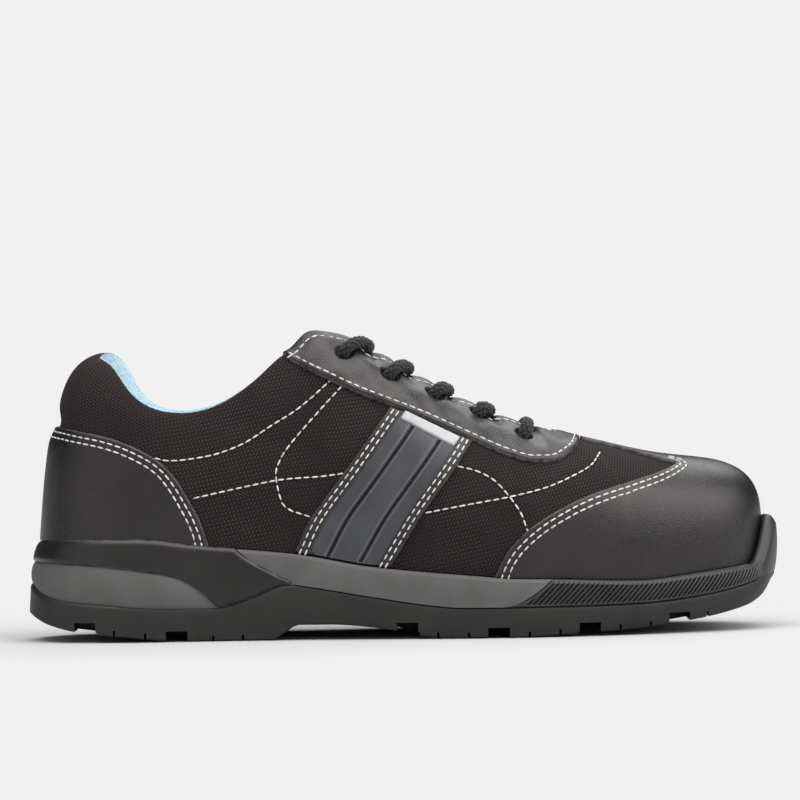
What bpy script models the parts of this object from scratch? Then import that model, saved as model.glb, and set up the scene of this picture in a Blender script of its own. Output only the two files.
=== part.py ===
"""Low safety shoe for the right foot: a hollow lasted upper with its overlays on a layered sole.

Metres, +Z up. +X points to the toe and -Y to the outer side of the foot.
The origin is on the floor, under the middle of the shoe.
Tables give places in percent: along the length from the heel, and up the instep height.
"""

import math
from collections import namedtuple

import bmesh
import bpy
import numpy as np
from mathutils import Vector

# Driving sizes, in millimetres
LENGTH = 301.0  # sole, heel to toe
BALL_WIDTH = 105.0  # sole, across the ball
INSTEP_HEIGHT = 123.0  # floor to the top of the throat
MM = 0.001

# Wall and layer sizes, in millimetres
GAP = 0.35  # clearance between neighbouring pieces
WALL = 2.2  # lined textile of the upper
LEATHER = 1.3  # toe cap, counter and eyestay
SEAM = 0.55  # overlay to the textile under it
BAND_LEATHER = 1.2
TAG_CLOTH = 0.7
STABILISER = 1.3
RECESS = 1.2  # the midsole's heel stands back this far under the stabiliser
TONGUE = 3.5
INSOLE = 4.0
RIM = 3.4  # outsole wall that holds the forefoot
SHOULDER = 1.2  # how far the sole's top edge rounds in
HEEL_SHOULDER = 2.0  # how much further it does at the heel
HEEL_REACH = 2.2  # places round from the heel
BUMPER_RISE = 18.0  # toe bumper above the sole line
STRIP_HALF_WIDTHS = (10.0, 18.0)  # leather strip over the ridge, at the eyestay and at the toe cap
LACE_RADIUS = 2.15
LACE_HOLE_RADIUS = 3.0
LACE_CLEARANCE = 0.6
LACE_HUMP = 0.8  # rise of each bar at the middle
TONGUE_MARGIN = 0.16  # share of the wall that the tongue reaches under
LINING_FREE = 1.0  # insole edge to the upper's inside

# Tread and side ribs, in millimetres
LUG_DEPTH = 4.2
NOTCH_WIDTH = 8.5
CHANNEL_WIDTH = 4.6
CHANNEL_SHARE = 0.36  # channel's place between the middle and the edge
CUT_BELOW = 7.0  # cutters reach this far under the tread
RIB_PITCH = 5.0
RIB_DEPTH = 0.8
RIB_HALF_WIDTH = 1.4
RIB_CLEAR = 2.0  # rib cutters stand this far out of the wall
RIB_LEAN = 9.0  # each rib's top is this far ahead of its foot
RIB_MARGIN = 1.0

Section = namedtuple(
    "Section",
    "along outer inner tuck inset top_along ridge gap top lift lean power bulge finish pad",
)
# Sole edge: along, outer and inner half-widths in percent of the ball width, tuck of the tread in mm.
# Upper: inset of its foot in mm, then the rim or ridge point that each side's wall climbs to.
# Wall: lean, squareness, bulge in mm, the angle where it stops, and the collar's padding in mm.
SECTIONS = [
    Section(0.0, 0.0, 0.0, -1.8, 4.3, 9.5, 0.0, 0.0, 92.7, 0.0, 0.45, 10.0, 1.6, 90, 8.0),
    Section(3.2, 23.8, 23.3, -1.5, 4.4, 11.5, 0.0, 14.8, 88.9, 4.2, 0.45, 10.0, 1.6, 90, 8.0),
    Section(12.1, 35.7, 35.2, 0.5, 4.5, 15.4, 0.0, 23.8, 77.2, 0.9, 0.50, 9.0, 1.5, 90, 7.5),
    Section(22.8, 36.7, 34.3, 2.0, 4.5, 22.8, 0.0, 27.6, 73.8, 1.0, 0.55, 8.0, 1.5, 90, 7.0),
    Section(33.1, 38.6, 32.9, 2.5, 4.3, 30.7, 0.0, 26.2, 84.4, 0.8, 0.40, 6.0, 1.5, 90, 6.0),
    Section(43.0, 42.4, 34.3, 2.0, 4.2, 38.7, 0.0, 18.1, 98.2, 0.0, 0.10, 3.2, 2.0, 72, 1.5),
    Section(53.3, 46.7, 39.0, 2.0, 4.6, 49.0, 0.3, 15.2, 87.9, 0.0, 0.0, 2.8, 2.5, 64, 0.0),
    Section(62.6, 49.8, 45.2, 2.0, 5.4, 59.3, 0.6, 13.8, 73.7, 0.0, 0.0, 2.7, 2.5, 64, 0.0),
    Section(71.3, 48.9, 49.9, 2.5, 5.8, 66.6, 1.0, 9.0, 66.4, 0.0, 0.0, 2.8, 2.0, 74, 0.0),
    Section(80.2, 44.3, 48.6, 3.5, 6.0, 71.3, 1.5, 0.0, 63.3, 0.0, 0.0, 3.0, 1.5, 90, 0.0),
    Section(88.5, 35.7, 43.8, 3.0, 6.2, 79.9, 2.0, 0.0, 58.1, 0.0, 0.0, 3.6, 1.0, 90, 0.0),
    Section(96.3, 21.0, 31.4, 2.6, 7.0, 85.2, 2.5, 0.0, 55.8, 0.0, 0.0, 4.8, 0.5, 90, 0.0),
    Section(100.0, -5.2, 5.2, 2.3, 7.8, 87.5, 2.5, 0.0, 55.0, 0.0, 0.0, 5.5, 0.0, 90, 0.0),
]
LAST = len(SECTIONS) - 1  # the toe tip's place round the ring, where the heel's is 0
TURN = 2 * LAST
CLOSED = 9  # from this section on, the two sides meet along the ridge
SAMPLES = 96
TURN_WEIGHT = 30.0  # a wall's share grows by this many mm for each radian it turns, to keep curves smooth

# Lines along the shoe's side: percent along, percent up
TREAD_LINE = [
    (0.0, 8.9), (2.8, 5.7), (6.5, 3.5), (13.5, 1.6), (20.8, 0.0), (32.1, 0.0), (33.4, 1.8),
    (35.7, 4.9), (40.0, 4.9), (43.4, 4.4), (48.3, 2.8), (52.7, 0.6), (55.3, 0.0), (64.6, 0.0),
    (69.9, 0.6), (80.6, 2.1), (89.2, 4.6), (94.9, 7.4), (96.6, 8.7), (97.9, 10.7), (99.6, 15.9),
]
PARTING_LINE = [
    (0.0, 18.7), (1.9, 15.4), (4.8, 13.4), (9.2, 12.3), (19.4, 10.6), (24.4, 10.7), (26.1, 11.1),
    (29.5, 13.7), (34.7, 17.9), (37.0, 17.2), (45.1, 13.8), (53.3, 10.7), (56.8, 9.9), (61.3, 9.8),
    (69.9, 9.8), (80.6, 10.2), (89.2, 12.2), (94.9, 15.0), (98.2, 17.9),
]
SOLE_LINE = [
    (0.0, 32.5), (6.8, 32.8), (14.5, 32.8), (22.1, 30.7), (35.4, 27.6), (45.1, 23.3), (59.0, 19.8),
    (64.3, 18.7), (69.9, 18.4), (80.9, 17.4), (89.2, 19.2), (95.2, 20.8), (99.8, 22.0),
]
STABILISER_FOOT = [
    (0.0, 25.8), (4.2, 25.4), (9.3, 24.5), (14.5, 23.0), (19.4, 20.8), (21.9, 17.9), (23.7, 14.3),
    (24.9, 11.4),
]
STABILISER_ARROW = [(27.7, 29.3), (29.6, 25.7), (32.0, 22.4), (34.9, 18.7)]
STABILISER_RECESS_ENDS = (33.0, 37.0)
COUNTER_LINE = [
    (2.0, 70.2), (6.0, 68.6), (11.1, 65.9), (16.0, 60.8), (18.3, 56.9), (19.9, 52.4), (21.6, 45.5),
    (23.1, 38.2), (24.1, 30.7),
]
EYESTAY_LINE = [
    (34.2, 90.8), (37.4, 86.6), (43.4, 79.3), (52.3, 70.3), (58.3, 63.4), (64.0, 57.3), (66.9, 55.4),
    (69.4, 55.4), (71.6, 57.7), (72.9, 60.2), (73.6, 63.4),
]
TOE_CAP_LINE = [
    (61.5, 19.5), (63.0, 26.7), (65.1, 32.4), (68.2, 38.0), (74.3, 45.0), (80.6, 49.3), (83.7, 51.4),
    (86.6, 54.2),
]
BAND_REAR = [(35.5, 28.5), (37.5, 38.6), (41.6, 51.9), (45.2, 63.8), (48.1, 73.6)]
BAND_FRONT = [(48.0, 23.3), (51.8, 38.1), (53.6, 44.4), (57.1, 55.9), (58.7, 62.0)]
TAG_CORNERS = [(49.5, 69.4), (56.4, 60.0), (57.3, 62.8), (50.1, 71.9)]  # foot rear, front, head front, rear
LaceHole = namedtuple("LaceHole", "along up ahead")  # percent, and how far ahead the lace crosses the edge
LACE_HOLES = [
    LaceHole(42.2, 91.5, 2.8),
    LaceHole(48.1, 84.0, 2.2),
    LaceHole(53.9, 77.4, 1.7),
    LaceHole(59.7, 70.8, 1.4),
    LaceHole(65.7, 63.6, 0.4),
]
RIM_SWEEP = (62.6, 69.0)  # outsole wall climbs from the parting line to the sole line
BUMPER_SPAN = (LAST - 1.0, LAST - 0.25)  # bumper climbs between these places round the ring
STRIP_SPAN = (CLOSED + 0.2, CLOSED + 1.4)  # the strip over the ridge widens between these places

# Tread: percent along
HEEL_NOTCHES = (7.6, 19.7)
FOREFOOT_NOTCHES = (50.0, 61.9, 73.8, 85.7)
CHANNEL_SPANS = ((5.0, 33.5), (46.0, 93.0))
CENTRE_NOTCHES = (13.6, 26.0, 56.0, 67.8, 79.7)


def clear_scene():
    for obj in list(bpy.data.objects):
        bpy.data.objects.remove(obj)


def along(percent):
    return (np.asarray(percent, float) / 100 - 0.5) * LENGTH


def up(percent):
    return np.asarray(percent, float) / 100 * INSTEP_HEIGHT


def smooth(share):
    share = np.clip(share, 0.0, 1.0)
    return share * share * (3 - 2 * share)


def ring(outer, inner=None):
    """A smooth closed function round the shoe: heel 0, outer side, toe LAST, inner side back to TURN."""
    inner = outer if inner is None else inner
    values = np.array([*outer, *inner[-2:0:-1]], float)
    unit = np.eye(TURN)
    matrix = 4 * unit + np.roll(unit, 1, axis=0) + np.roll(unit, -1, axis=0)
    bend = np.linalg.solve(matrix, 6 * (np.roll(values, -1) - 2 * values + np.roll(values, 1)))

    def at(u):
        u = np.mod(np.asarray(u, float), TURN)
        low = np.floor(u).astype(int) % TURN
        high = (low + 1) % TURN
        t = u - np.floor(u)
        s = 1 - t
        curve = (s**3 - s) * bend[low] + (t**3 - t) * bend[high]
        return s * values[low] + t * values[high] + curve / 6

    return at


def line(points):
    """A smooth line through (percent along, percent up) points that never overshoots: x to z, in mm."""
    x = along([p[0] for p in points])
    z = up([p[1] for p in points])
    run = np.diff(x)
    slope = np.diff(z) / run
    before, after = slope[:-1], slope[1:]
    weight_b = 2 * run[1:] + run[:-1]
    weight_a = run[1:] + 2 * run[:-1]
    with np.errstate(divide="ignore", invalid="ignore"):
        mean = (weight_b + weight_a) / (weight_b / before + weight_a / after)
    inner = np.where(before * after > 0, mean, 0.0)
    tangent = np.concatenate([slope[:1], inner, slope[-1:]])

    def at(place):
        place = np.clip(np.asarray(place, float), x[0], x[-1])
        i = np.clip(np.searchsorted(x, place) - 1, 0, len(run) - 1)
        t = (place - x[i]) / run[i]
        rise = t * t * (3 - 2 * t)
        ends = run[i] * (t * (1 - t) ** 2 * tangent[i] - t * t * (1 - t) * tangent[i + 1])
        return z[i] + (z[i + 1] - z[i]) * rise + ends

    return at


def column(name):
    return [getattr(s, name) for s in SECTIONS]


def half_widths(name):
    return np.array(column(name)) / 100 * BALL_WIDTH


edge_x = ring(along(column("along")))
edge_y = ring(-half_widths("outer"), half_widths("inner"))
tuck = ring(column("tuck"))
inset = ring(column("inset"))
top_x = ring(along(column("top_along")))
ridge_y = ring(half_widths("ridge"))
half_gap = ring(-half_widths("gap"), half_widths("gap"))
top_z = ring(up(column("top")), up(column("top")) + column("lift"))
lean = ring(column("lean"))
power = ring(column("power"))
bulge = ring(column("bulge"))
finish = ring(np.radians(column("finish")))
pad = ring(column("pad"))
tread_z = line(TREAD_LINE)
parting_z = line(PARTING_LINE)
sole_z = line(SOLE_LINE)


def beside(u):
    """How far round from the toe tip, from 0 there to LAST at the heel."""
    return np.abs(np.mod(np.asarray(u, float), TURN) - LAST)


def outward(u):
    """Plan direction out of the sole's edge."""
    dx = edge_x(u + 0.01) - edge_x(u - 0.01)
    dy = edge_y(u + 0.01) - edge_y(u - 0.01)
    size = np.hypot(dx, dy)
    return dy / size, -dx / size


def sole_edge(u, inside):
    """Plan point that lies a distance inside the sole's edge."""
    nx, ny = outward(u)
    return edge_x(u) - inside * nx, edge_y(u) - inside * ny


def seat_z(u):
    return sole_z(edge_x(u))


def wall_top_z(u):
    """Top of the sole's side: the sole line, and the bumper that climbs over the toe."""
    start, end = (LAST - place for place in BUMPER_SPAN)
    climb = smooth((start - beside(u)) / (start - end))
    return seat_z(u) + BUMPER_RISE * climb


def outsole_top_z(u):
    """Top of the outsole's side wall: the parting line, then up to the wall's top at the forefoot."""
    start, end = along(RIM_SWEEP)
    sweep = np.clip((edge_x(u) - start) / (end - start), 0.0, 1.0) ** 1.7
    parting = parting_z(edge_x(u))
    return parting + (wall_top_z(u) - parting) * sweep


def side_inset(u, z):
    """How far the sole's side lies inside its widest edge at a height."""
    foot = tread_z(edge_x(u))
    share = np.clip((z - foot) / (wall_top_z(u) - foot), 0.0, 1.0)
    narrowing = np.where(tuck(u) > 0, (1 - share) ** 4, 1 - share)
    shoulder = SHOULDER + HEEL_SHOULDER * smooth(1 - (LAST - beside(u)) / HEEL_REACH)
    return tuck(u) * narrowing + shoulder * share**6


def top_y(u):
    """Across the shoe: the rim's two sides, rounded together at the throat's front end, then the ridge."""
    from_end = beside(u) - (LAST - CLOSED)
    round_end = np.sqrt(np.clip(1 - np.clip(1 - from_end, 0.0, 1.0) ** 2, 0.0, 1.0))
    side = np.where(np.mod(np.asarray(u, float), TURN) < LAST, CLOSED - 1, TURN - CLOSED + 1)
    opening = np.where(from_end < 1, half_gap(side) * round_end, half_gap(u))
    return ridge_y(u) + opening


def wall_columns(u):
    """The upper's outer wall at each place round the ring, from its foot to its rim or ridge."""
    u = np.asarray(u, float)
    nx, ny = outward(u)
    foot_x, foot_y = sole_edge(u, inset(u))
    foot_z = seat_z(u) + GAP
    stop = finish(u)[:, None]
    square = power(u)[:, None]
    angle = stop * np.linspace(0, 1, SAMPLES) ** (square / 2)
    across = (1 - np.cos(angle)) / (1 - np.cos(stop))
    climb = (np.sin(angle) / np.sin(stop)) ** (2 / square)
    share = lean(u)[:, None] * climb + (1 - lean(u)[:, None]) * across
    swell = bulge(u)[:, None] * np.sin(np.pi * climb)
    x = foot_x[:, None] + (top_x(u) - foot_x)[:, None] * share + nx[:, None] * swell
    y = foot_y[:, None] + (top_y(u) - foot_y)[:, None] * share + ny[:, None] * swell
    z = foot_z[:, None] + (top_z(u) - foot_z)[:, None] * climb
    return np.stack([x, y, z], axis=2)


def climb_shares(columns):
    """Share of the way up each wall at each of its samples, counting both length and turning."""
    steps = np.diff(columns, axis=1)
    length = np.linalg.norm(steps, axis=2)
    heading = steps / length[:, :, None]
    turn = np.arccos(np.clip((heading[:, 1:] * heading[:, :-1]).sum(axis=2), -1.0, 1.0))
    blank = np.zeros((len(columns), 1))
    bend = np.concatenate([blank, turn], axis=1) + np.concatenate([turn, blank], axis=1)
    total = np.cumsum(length + TURN_WEIGHT * bend / 2, axis=1)
    total = np.concatenate([blank, total], axis=1)
    return total / total[:, -1:]


def on_wall(u, v):
    """Points of the upper's outside: u round the shoe, v the share of the way up the wall."""
    u, v = np.broadcast_arrays(np.asarray(u, float), np.asarray(v, float))
    shape = u.shape
    u, v = u.ravel(), np.clip(v.ravel(), 0.0, 1.0)
    columns = wall_columns(u)
    shares = climb_shares(columns)
    high = np.clip((shares < v[:, None]).sum(axis=1), 1, SAMPLES - 1)
    rows = np.arange(len(u))
    low_share, high_share = shares[rows, high - 1], shares[rows, high]
    t = ((v - low_share) / (high_share - low_share))[:, None]
    points = columns[rows, high - 1] * (1 - t) + columns[rows, high] * t
    return points.reshape(*shape, 3)


def wall_normals(u, v):
    u, v = np.broadcast_arrays(np.asarray(u, float), np.asarray(v, float))
    small_u, small_v = 0.02, 0.01
    round_it = on_wall(u + small_u, v) - on_wall(u - small_u, v)
    up_it = on_wall(u, np.minimum(v + small_v, 1)) - on_wall(u, np.maximum(v - small_v, 0))
    ridge = (v > 0.999) & (beside(u) <= LAST - CLOSED)
    place = np.minimum(LAST - beside(u), LAST - 0.1)
    along_it = on_wall(place + small_u, v) - on_wall(place - small_u, v)
    round_it[ridge] = along_it[ridge]
    up_it[ridge] = np.array([0.0, 1.0, 0.0])
    normal = np.cross(round_it, up_it)
    return normal / np.linalg.norm(normal, axis=-1, keepdims=True)


def off_wall(u, v, distance):
    """Points that stand off the upper's outside by a distance, inwards if it is negative."""
    skin = on_wall(u, v)
    points = skin + wall_normals(u, v) * np.asarray(distance, float)[..., None]
    points[..., 2] = np.where(np.asarray(v) <= 0, skin[..., 2], points[..., 2])
    return points


def wall_thickness(u, v):
    """Lined wall, with the collar's padding that swells below the rim and rounds off at it."""
    collar = np.clip(pad(u) / max(column("pad")), 0.0, 1.0)
    thick = WALL + np.maximum(pad(u), 0.0) * smooth((v - 0.25) / 0.3)
    fade = np.sqrt(np.clip(1 - np.clip((v - 0.55) / 0.45, 0, 1) ** 2, 0, 1))
    return thick * (1 - collar + collar * fade)


def height_on_wall(u, edge):
    """Share of the way up each wall where it first rises through a side line, 1 where it never does."""
    columns = wall_columns(u)
    shares = climb_shares(columns)
    over = columns[:, :, 2] - edge(columns[:, :, 0])
    found = []
    for share, height in zip(shares, over):
        above = np.nonzero(height > 0)[0]
        if not len(above):
            found.append(1.0)
        elif above[0] == 0:
            found.append(0.0)
        else:
            i = above[0]
            t = height[i - 1] / (height[i - 1] - height[i])
            found.append(share[i - 1] + (share[i] - share[i - 1]) * t)
    return np.array(found)


def strip_on_wall(u):
    """Share of the way up each wall where the edge of the strip over the ridge crosses it."""
    start, end = STRIP_SPAN
    widening = smooth((LAST - beside(u) - start) / (end - start))
    half_width = STRIP_HALF_WIDTHS[0] + (STRIP_HALF_WIDTHS[1] - STRIP_HALF_WIDTHS[0]) * widening
    columns = wall_columns(u)
    shares = climb_shares(columns)
    away = np.abs(columns[:, :, 1] - ridge_y(u)[:, None])
    return np.array([np.interp(-w, -a, s) for w, a, s in zip(half_width, away, shares)])


def locate(points, inner_side=False):
    """Places (u, v) on one side of the upper for (x, z) points of the side view."""
    tries = np.linspace(0.4, LAST - 0.4, 231)
    tries = TURN - tries if inner_side else tries
    columns = wall_columns(tries)
    found_u, found_v = [], []
    for x, z in points:
        at_z = [np.interp(z, c[:, 2], c[:, 0]) for c in columns]
        u = np.interp(x, at_z, tries)
        own = wall_columns([u])
        found_u.append(u)
        found_v.append(np.interp(z, own[0, :, 2], climb_shares(own)[0]))
    return np.array(found_u), np.array(found_v)


def where(function, target, start, end):
    """The place between start and end where a rising function reaches a target."""
    places = np.linspace(start, end, 801)
    return float(np.interp(target, function(places), places))


class Skin:
    """Collects faces between rows of points, in mm, and welds them into one mesh object in metres."""

    def __init__(self):
        self.bm = bmesh.new()

    def row(self, points):
        return [self.bm.verts.new(np.asarray(p) * MM) for p in points]

    def strip(self, one, other):
        for a, b, c, d in zip(one, one[1:], other[1:], other):
            self.bm.faces.new((a, b, c, d))

    def grid(self, block):
        """Faces between the rows of a block of points, round the shoe first and then up."""
        rows = [self.row(block[:, j]) for j in range(block.shape[1])]
        for low, high in zip(rows, rows[1:]):
            self.strip(low, high)
        return rows

    def loop_grid(self, block):
        """The same on a block that goes all the way round."""
        return self.grid(np.concatenate([block, block[:1]]))

    def ladder(self, points):
        """Closes a loop of points by rungs from the outer side to the inner side."""
        verts = self.row(points)
        half = len(verts) // 2
        for i in range(half):
            rung = [verts[i], verts[i + 1], verts[-i - 1], verts[-i]]
            if i == 0:
                rung.pop()
            elif i == half - 1:
                rung.pop(2)
            self.bm.faces.new(rung)

    def finish(self, name, finish_name, closed=True, thickness=0.0):
        bmesh.ops.remove_doubles(self.bm, verts=self.bm.verts, dist=0.03 * MM)
        bmesh.ops.dissolve_degenerate(self.bm, edges=self.bm.edges, dist=0.002 * MM)
        if closed:
            bmesh.ops.recalc_face_normals(self.bm, faces=self.bm.faces)
        mesh = bpy.data.meshes.new(name)
        self.bm.to_mesh(mesh)
        self.bm.free()
        mesh.shade_smooth()
        mesh.set_sharp_from_angle(angle=math.radians(40))
        obj = add_object(name, mesh, finish_name)
        if thickness:
            shell = obj.modifiers.new("Thickness", "SOLIDIFY")
            shell.thickness = thickness * MM
            shell.offset = 1.0
        return obj


# Colour, roughness and metallic value of each finish
FINISHES = {
    "textile": ((0.020, 0.017, 0.017), 0.85, 0.0),
    "leather": ((0.022, 0.022, 0.024), 0.45, 0.0),
    "band": ((0.055, 0.058, 0.068), 0.45, 0.0),
    "tag": ((0.75, 0.75, 0.77), 0.4, 0.0),
    "lace": ((0.012, 0.012, 0.011), 0.9, 0.0),
    "insole": ((0.25, 0.45, 0.62), 0.9, 0.0),
    "outsole": ((0.018, 0.018, 0.018), 0.5, 0.0),
    "midsole": ((0.115, 0.115, 0.12), 0.6, 0.0),
    "stabiliser": ((0.020, 0.019, 0.019), 0.45, 0.0),
}


def material(finish_name):
    found = bpy.data.materials.get(finish_name)
    if found:
        return found
    colour, roughness, metallic = FINISHES[finish_name]
    made = bpy.data.materials.new(finish_name)
    made.use_nodes = True
    shader = made.node_tree.nodes["Principled BSDF"]
    shader.inputs["Base Color"].default_value = (*colour, 1.0)
    shader.inputs["Roughness"].default_value = roughness
    shader.inputs["Metallic"].default_value = metallic
    return made


def collection(name):
    found = bpy.data.collections.get(name)
    if not found:
        found = bpy.data.collections.new(name)
        bpy.context.scene.collection.children.link(found)
    return found


def add_object(name, data, finish_name):
    obj = bpy.data.objects.new(name, data)
    obj.data.materials.append(material(finish_name))
    collection("safety_shoe").objects.link(obj)
    return obj


def add_cutter(name, bm, group):
    bmesh.ops.recalc_face_normals(bm, faces=bm.faces)
    mesh = bpy.data.meshes.new(name)
    bm.to_mesh(mesh)
    bm.free()
    obj = bpy.data.objects.new(name, mesh)
    obj.hide_render = True
    obj.display_type = "WIRE"
    collection(group).objects.link(obj)
    return obj


def cut(obj, group):
    knife = obj.modifiers.new("Cut " + group, "BOOLEAN")
    knife.operation = "DIFFERENCE"
    knife.operand_type = "COLLECTION"
    knife.collection = collection(group)
    knife.use_self = True


def prism(bm, one, other):
    """A closed bar between two like outlines of points in mm."""
    first = [bm.verts.new(np.asarray(p) * MM) for p in one]
    second = [bm.verts.new(np.asarray(p) * MM) for p in other]
    bm.faces.new(first)
    bm.faces.new(reversed(second))
    for a, b, c, d in zip(first, first[1:] + first[:1], second[1:] + second[:1], second):
        bm.faces.new((a, d, c, b))


def half_round():
    """Places from the heel to the toe, close where the plan or the throat's end turns sharply."""
    sides = np.arange(2, CLOSED - 0.4, 1 / 3)
    throat_end = [CLOSED - 1 / 3, CLOSED - 0.12]
    return np.concatenate([np.arange(0, 2, 0.25), sides, throat_end, np.arange(CLOSED, LAST, 0.25)])


ALL_ROUND = np.concatenate([half_round(), TURN - half_round()[:0:-1]])
ALL_ROUND = np.sort(np.append(ALL_ROUND, LAST))


def sole_block(u, places):
    """Points at (distance inside the edge, height) pairs for each place round the sole."""
    rows = []
    for inside, z in places:
        x, y = sole_edge(u, inside)
        rows.append(np.stack([x, y, z + 0 * u], axis=1))
    return np.stack(rows, axis=1)


def rim_inset(u):
    """Inside face of the outsole's forefoot wall, clear of the toe cap."""
    return np.maximum(inset(u) - SEAM - LEATHER - GAP, RIM)


def make_outsole():
    u = ALL_ROUND
    foot = tread_z(edge_x(u))
    head = outsole_top_z(u)
    floor = parting_z(edge_x(u))
    levels = [foot + (head - foot) * share for share in (0.0, 0.15, 0.5, 1.0)]
    places = [(side_inset(u, z), z) for z in levels]
    places += [(rim_inset(u), head), (rim_inset(u), floor)]
    block = sole_block(u, places)
    skin = Skin()
    skin.loop_grid(block)
    skin.ladder(block[:, 0])
    skin.ladder(block[:, -1])
    outsole = skin.finish("outsole", "outsole")
    make_tread_cutters()
    make_rib_cutters()
    cut(outsole, "tread_cutters")
    cut(outsole, "rib_cutters")


def edge_at(x, side):
    """Half-width point of the sole's edge at a place along it: side -1 outer, 1 inner."""
    outer_u = where(edge_x, x, 0.0, LAST)
    u = outer_u if side < 0 else TURN - where(lambda p: edge_x(TURN - p), x, 0.0, LAST)
    return float(edge_y(u))


def channel(name, points, width):
    """A groove cutter along plan points, from under the tread to the lugs' depth."""
    points = np.array(points, float)
    direction = np.gradient(points, axis=0)
    direction /= np.linalg.norm(direction, axis=1)[:, None]
    side = np.stack([-direction[:, 1], direction[:, 0]], axis=1) * width / 2
    head = tread_z(points[:, 0]) + LUG_DEPTH
    foot = tread_z(points[:, 0]) - CUT_BELOW
    corners = [(points + side, foot), (points + side, head), (points - side, head), (points - side, foot)]
    outline = [[(*p, z) for (plan, zs) in corners for p, z in [(plan[i], zs[i])]] for i in range(len(points))]
    bm = bmesh.new()
    rings = [[bm.verts.new(np.array(p) * MM) for p in section] for section in outline]
    for one, other in zip(rings, rings[1:]):
        for k in range(4):
            bm.faces.new((one[k], one[(k + 1) % 4], other[(k + 1) % 4], other[k]))
    bm.faces.new(rings[0])
    bm.faces.new(reversed(rings[-1]))
    add_cutter(name, bm, "tread_cutters")


def lane(x, share):
    """Plan point at a share of the way from the tread's middle to its outer (-) or inner (+) edge."""
    outer, inner = edge_at(x, -1), edge_at(x, 1)
    middle = (outer + inner) / 2
    reach = (inner - outer) / 2
    return x, middle + reach * share


def make_tread_cutters():
    for n, span in enumerate(CHANNEL_SPANS):
        xs = along(np.linspace(*span, 6))
        for side in (-1, 1):
            sway = [side * CHANNEL_SHARE * (1 + 0.12 * (-1) ** k) for k in range(len(xs))]
            channel(f"channel_{n}_{side + 1}", [lane(x, s) for x, s in zip(xs, sway)], CHANNEL_WIDTH)
    for n, place in enumerate((*HEEL_NOTCHES, *FOREFOOT_NOTCHES)):
        x = float(along(place))
        for side in (-1, 1):
            inner_end = lane(x, side * CHANNEL_SHARE)
            outer_end = lane(x, side * 1.3)
            channel(f"notch_{n}_{side + 1}", [inner_end, outer_end], NOTCH_WIDTH)
    for n, place in enumerate(CENTRE_NOTCHES):
        x = float(along(place))
        ends = [lane(x, share * CHANNEL_SHARE) for share in (-1, 1)]
        channel(f"centre_notch_{n}", ends, NOTCH_WIDTH * 0.7)


def make_rib_cutters():
    """Slanting grooves in the forefoot's side walls."""
    bm = bmesh.new()
    start, end = float(along(RIM_SWEEP[0])) + 3.0, float(along(95.0))
    for side in (-1, 1):
        for x in np.arange(start, end, RIB_PITCH):
            ends = []
            for lean_x, top in ((0.0, False), (RIB_LEAN, True)):
                place = min(x + lean_x, edge_x(LAST) - 1.0)
                u = where(edge_x, place, 0.0, LAST)
                u = u if side < 0 else TURN - where(lambda p: edge_x(TURN - p), place, 0.0, LAST)
                low = float(parting_z(edge_x(u)))
                high = float(outsole_top_z(u)) - RIB_MARGIN
                ends.append((u, max(high, low) if top else low))
            if ends[1][1] - ends[0][1] < 2.0:
                continue
            sections = []
            for u, z in ends:
                px, py = sole_edge(u, float(side_inset(u, z)))
                nx, ny = outward(u)
                corners = []
                for out, half in ((-RIB_DEPTH, -0.5), (RIB_CLEAR, -1.0), (RIB_CLEAR, 1.0), (-RIB_DEPTH, 0.5)):
                    wide = half * RIB_HALF_WIDTH
                    corners.append((px + nx * out - ny * wide, py + ny * out + nx * wide, z))
                sections.append(corners)
            prism(bm, sections[0], sections[1])
    add_cutter("ribs", bm, "rib_cutters")


def midsole_inset(u, z):
    """The midsole's side, which stands back round the heel for the stabiliser."""
    start, end = along(STABILISER_RECESS_ENDS)
    recess = RECESS * smooth((end - edge_x(u)) / (end - start))
    return side_inset(u, z) + recess


def make_midsole():
    u = ALL_ROUND
    seat = seat_z(u)
    floor = parting_z(edge_x(u)) + GAP
    split = np.minimum(outsole_top_z(u) + GAP, seat)
    held = rim_inset(u) + GAP
    exposed = seat - split > 0.2
    places = [(held, floor), (held, split)]
    for share in (0.0, 0.4, 0.8, 1.0):
        z = split + (seat - split) * share
        places.append((np.where(exposed, midsole_inset(u, z), held), z))
    block = sole_block(u, places)
    skin = Skin()
    skin.loop_grid(block)
    skin.ladder(block[:, 0])
    skin.ladder(block[:, -1])
    skin.finish("midsole", "midsole")


def make_heel_stabiliser():
    """Black cradle round the heel, with an arrow-shaped arm along each side of the midsole."""
    tip = along(STABILISER_ARROW[-1][0])
    end = where(edge_x, tip, 0.0, LAST)
    inner_end = where(lambda p: edge_x(TURN - p), tip, 0.0, LAST)
    u = np.concatenate([np.linspace(-inner_end, 0, 19)[:-1], np.linspace(0, end, 19)])
    x = edge_x(u)
    foot_line, arrow = line(STABILISER_FOOT), line(STABILISER_ARROW)
    in_heel = x < along(STABILISER_FOOT[-1][0])
    foot = np.where(in_heel, foot_line(x), parting_z(x) + 2 * GAP)
    foot = np.maximum(foot, parting_z(x) + 2 * GAP)
    head = np.where(x < along(STABILISER_ARROW[0][0]), seat_z(u) - 2 * GAP, arrow(x))
    head = np.maximum(head, foot)
    rows = [foot + (head - foot) * share for share in np.linspace(0, 1, 3)]
    block = sole_block(u, [(midsole_inset(u, z) - GAP, z) for z in rows])
    skin = Skin()
    skin.grid(block)
    skin.finish("heel_stabiliser", "stabiliser", closed=False, thickness=STABILISER)


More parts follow.
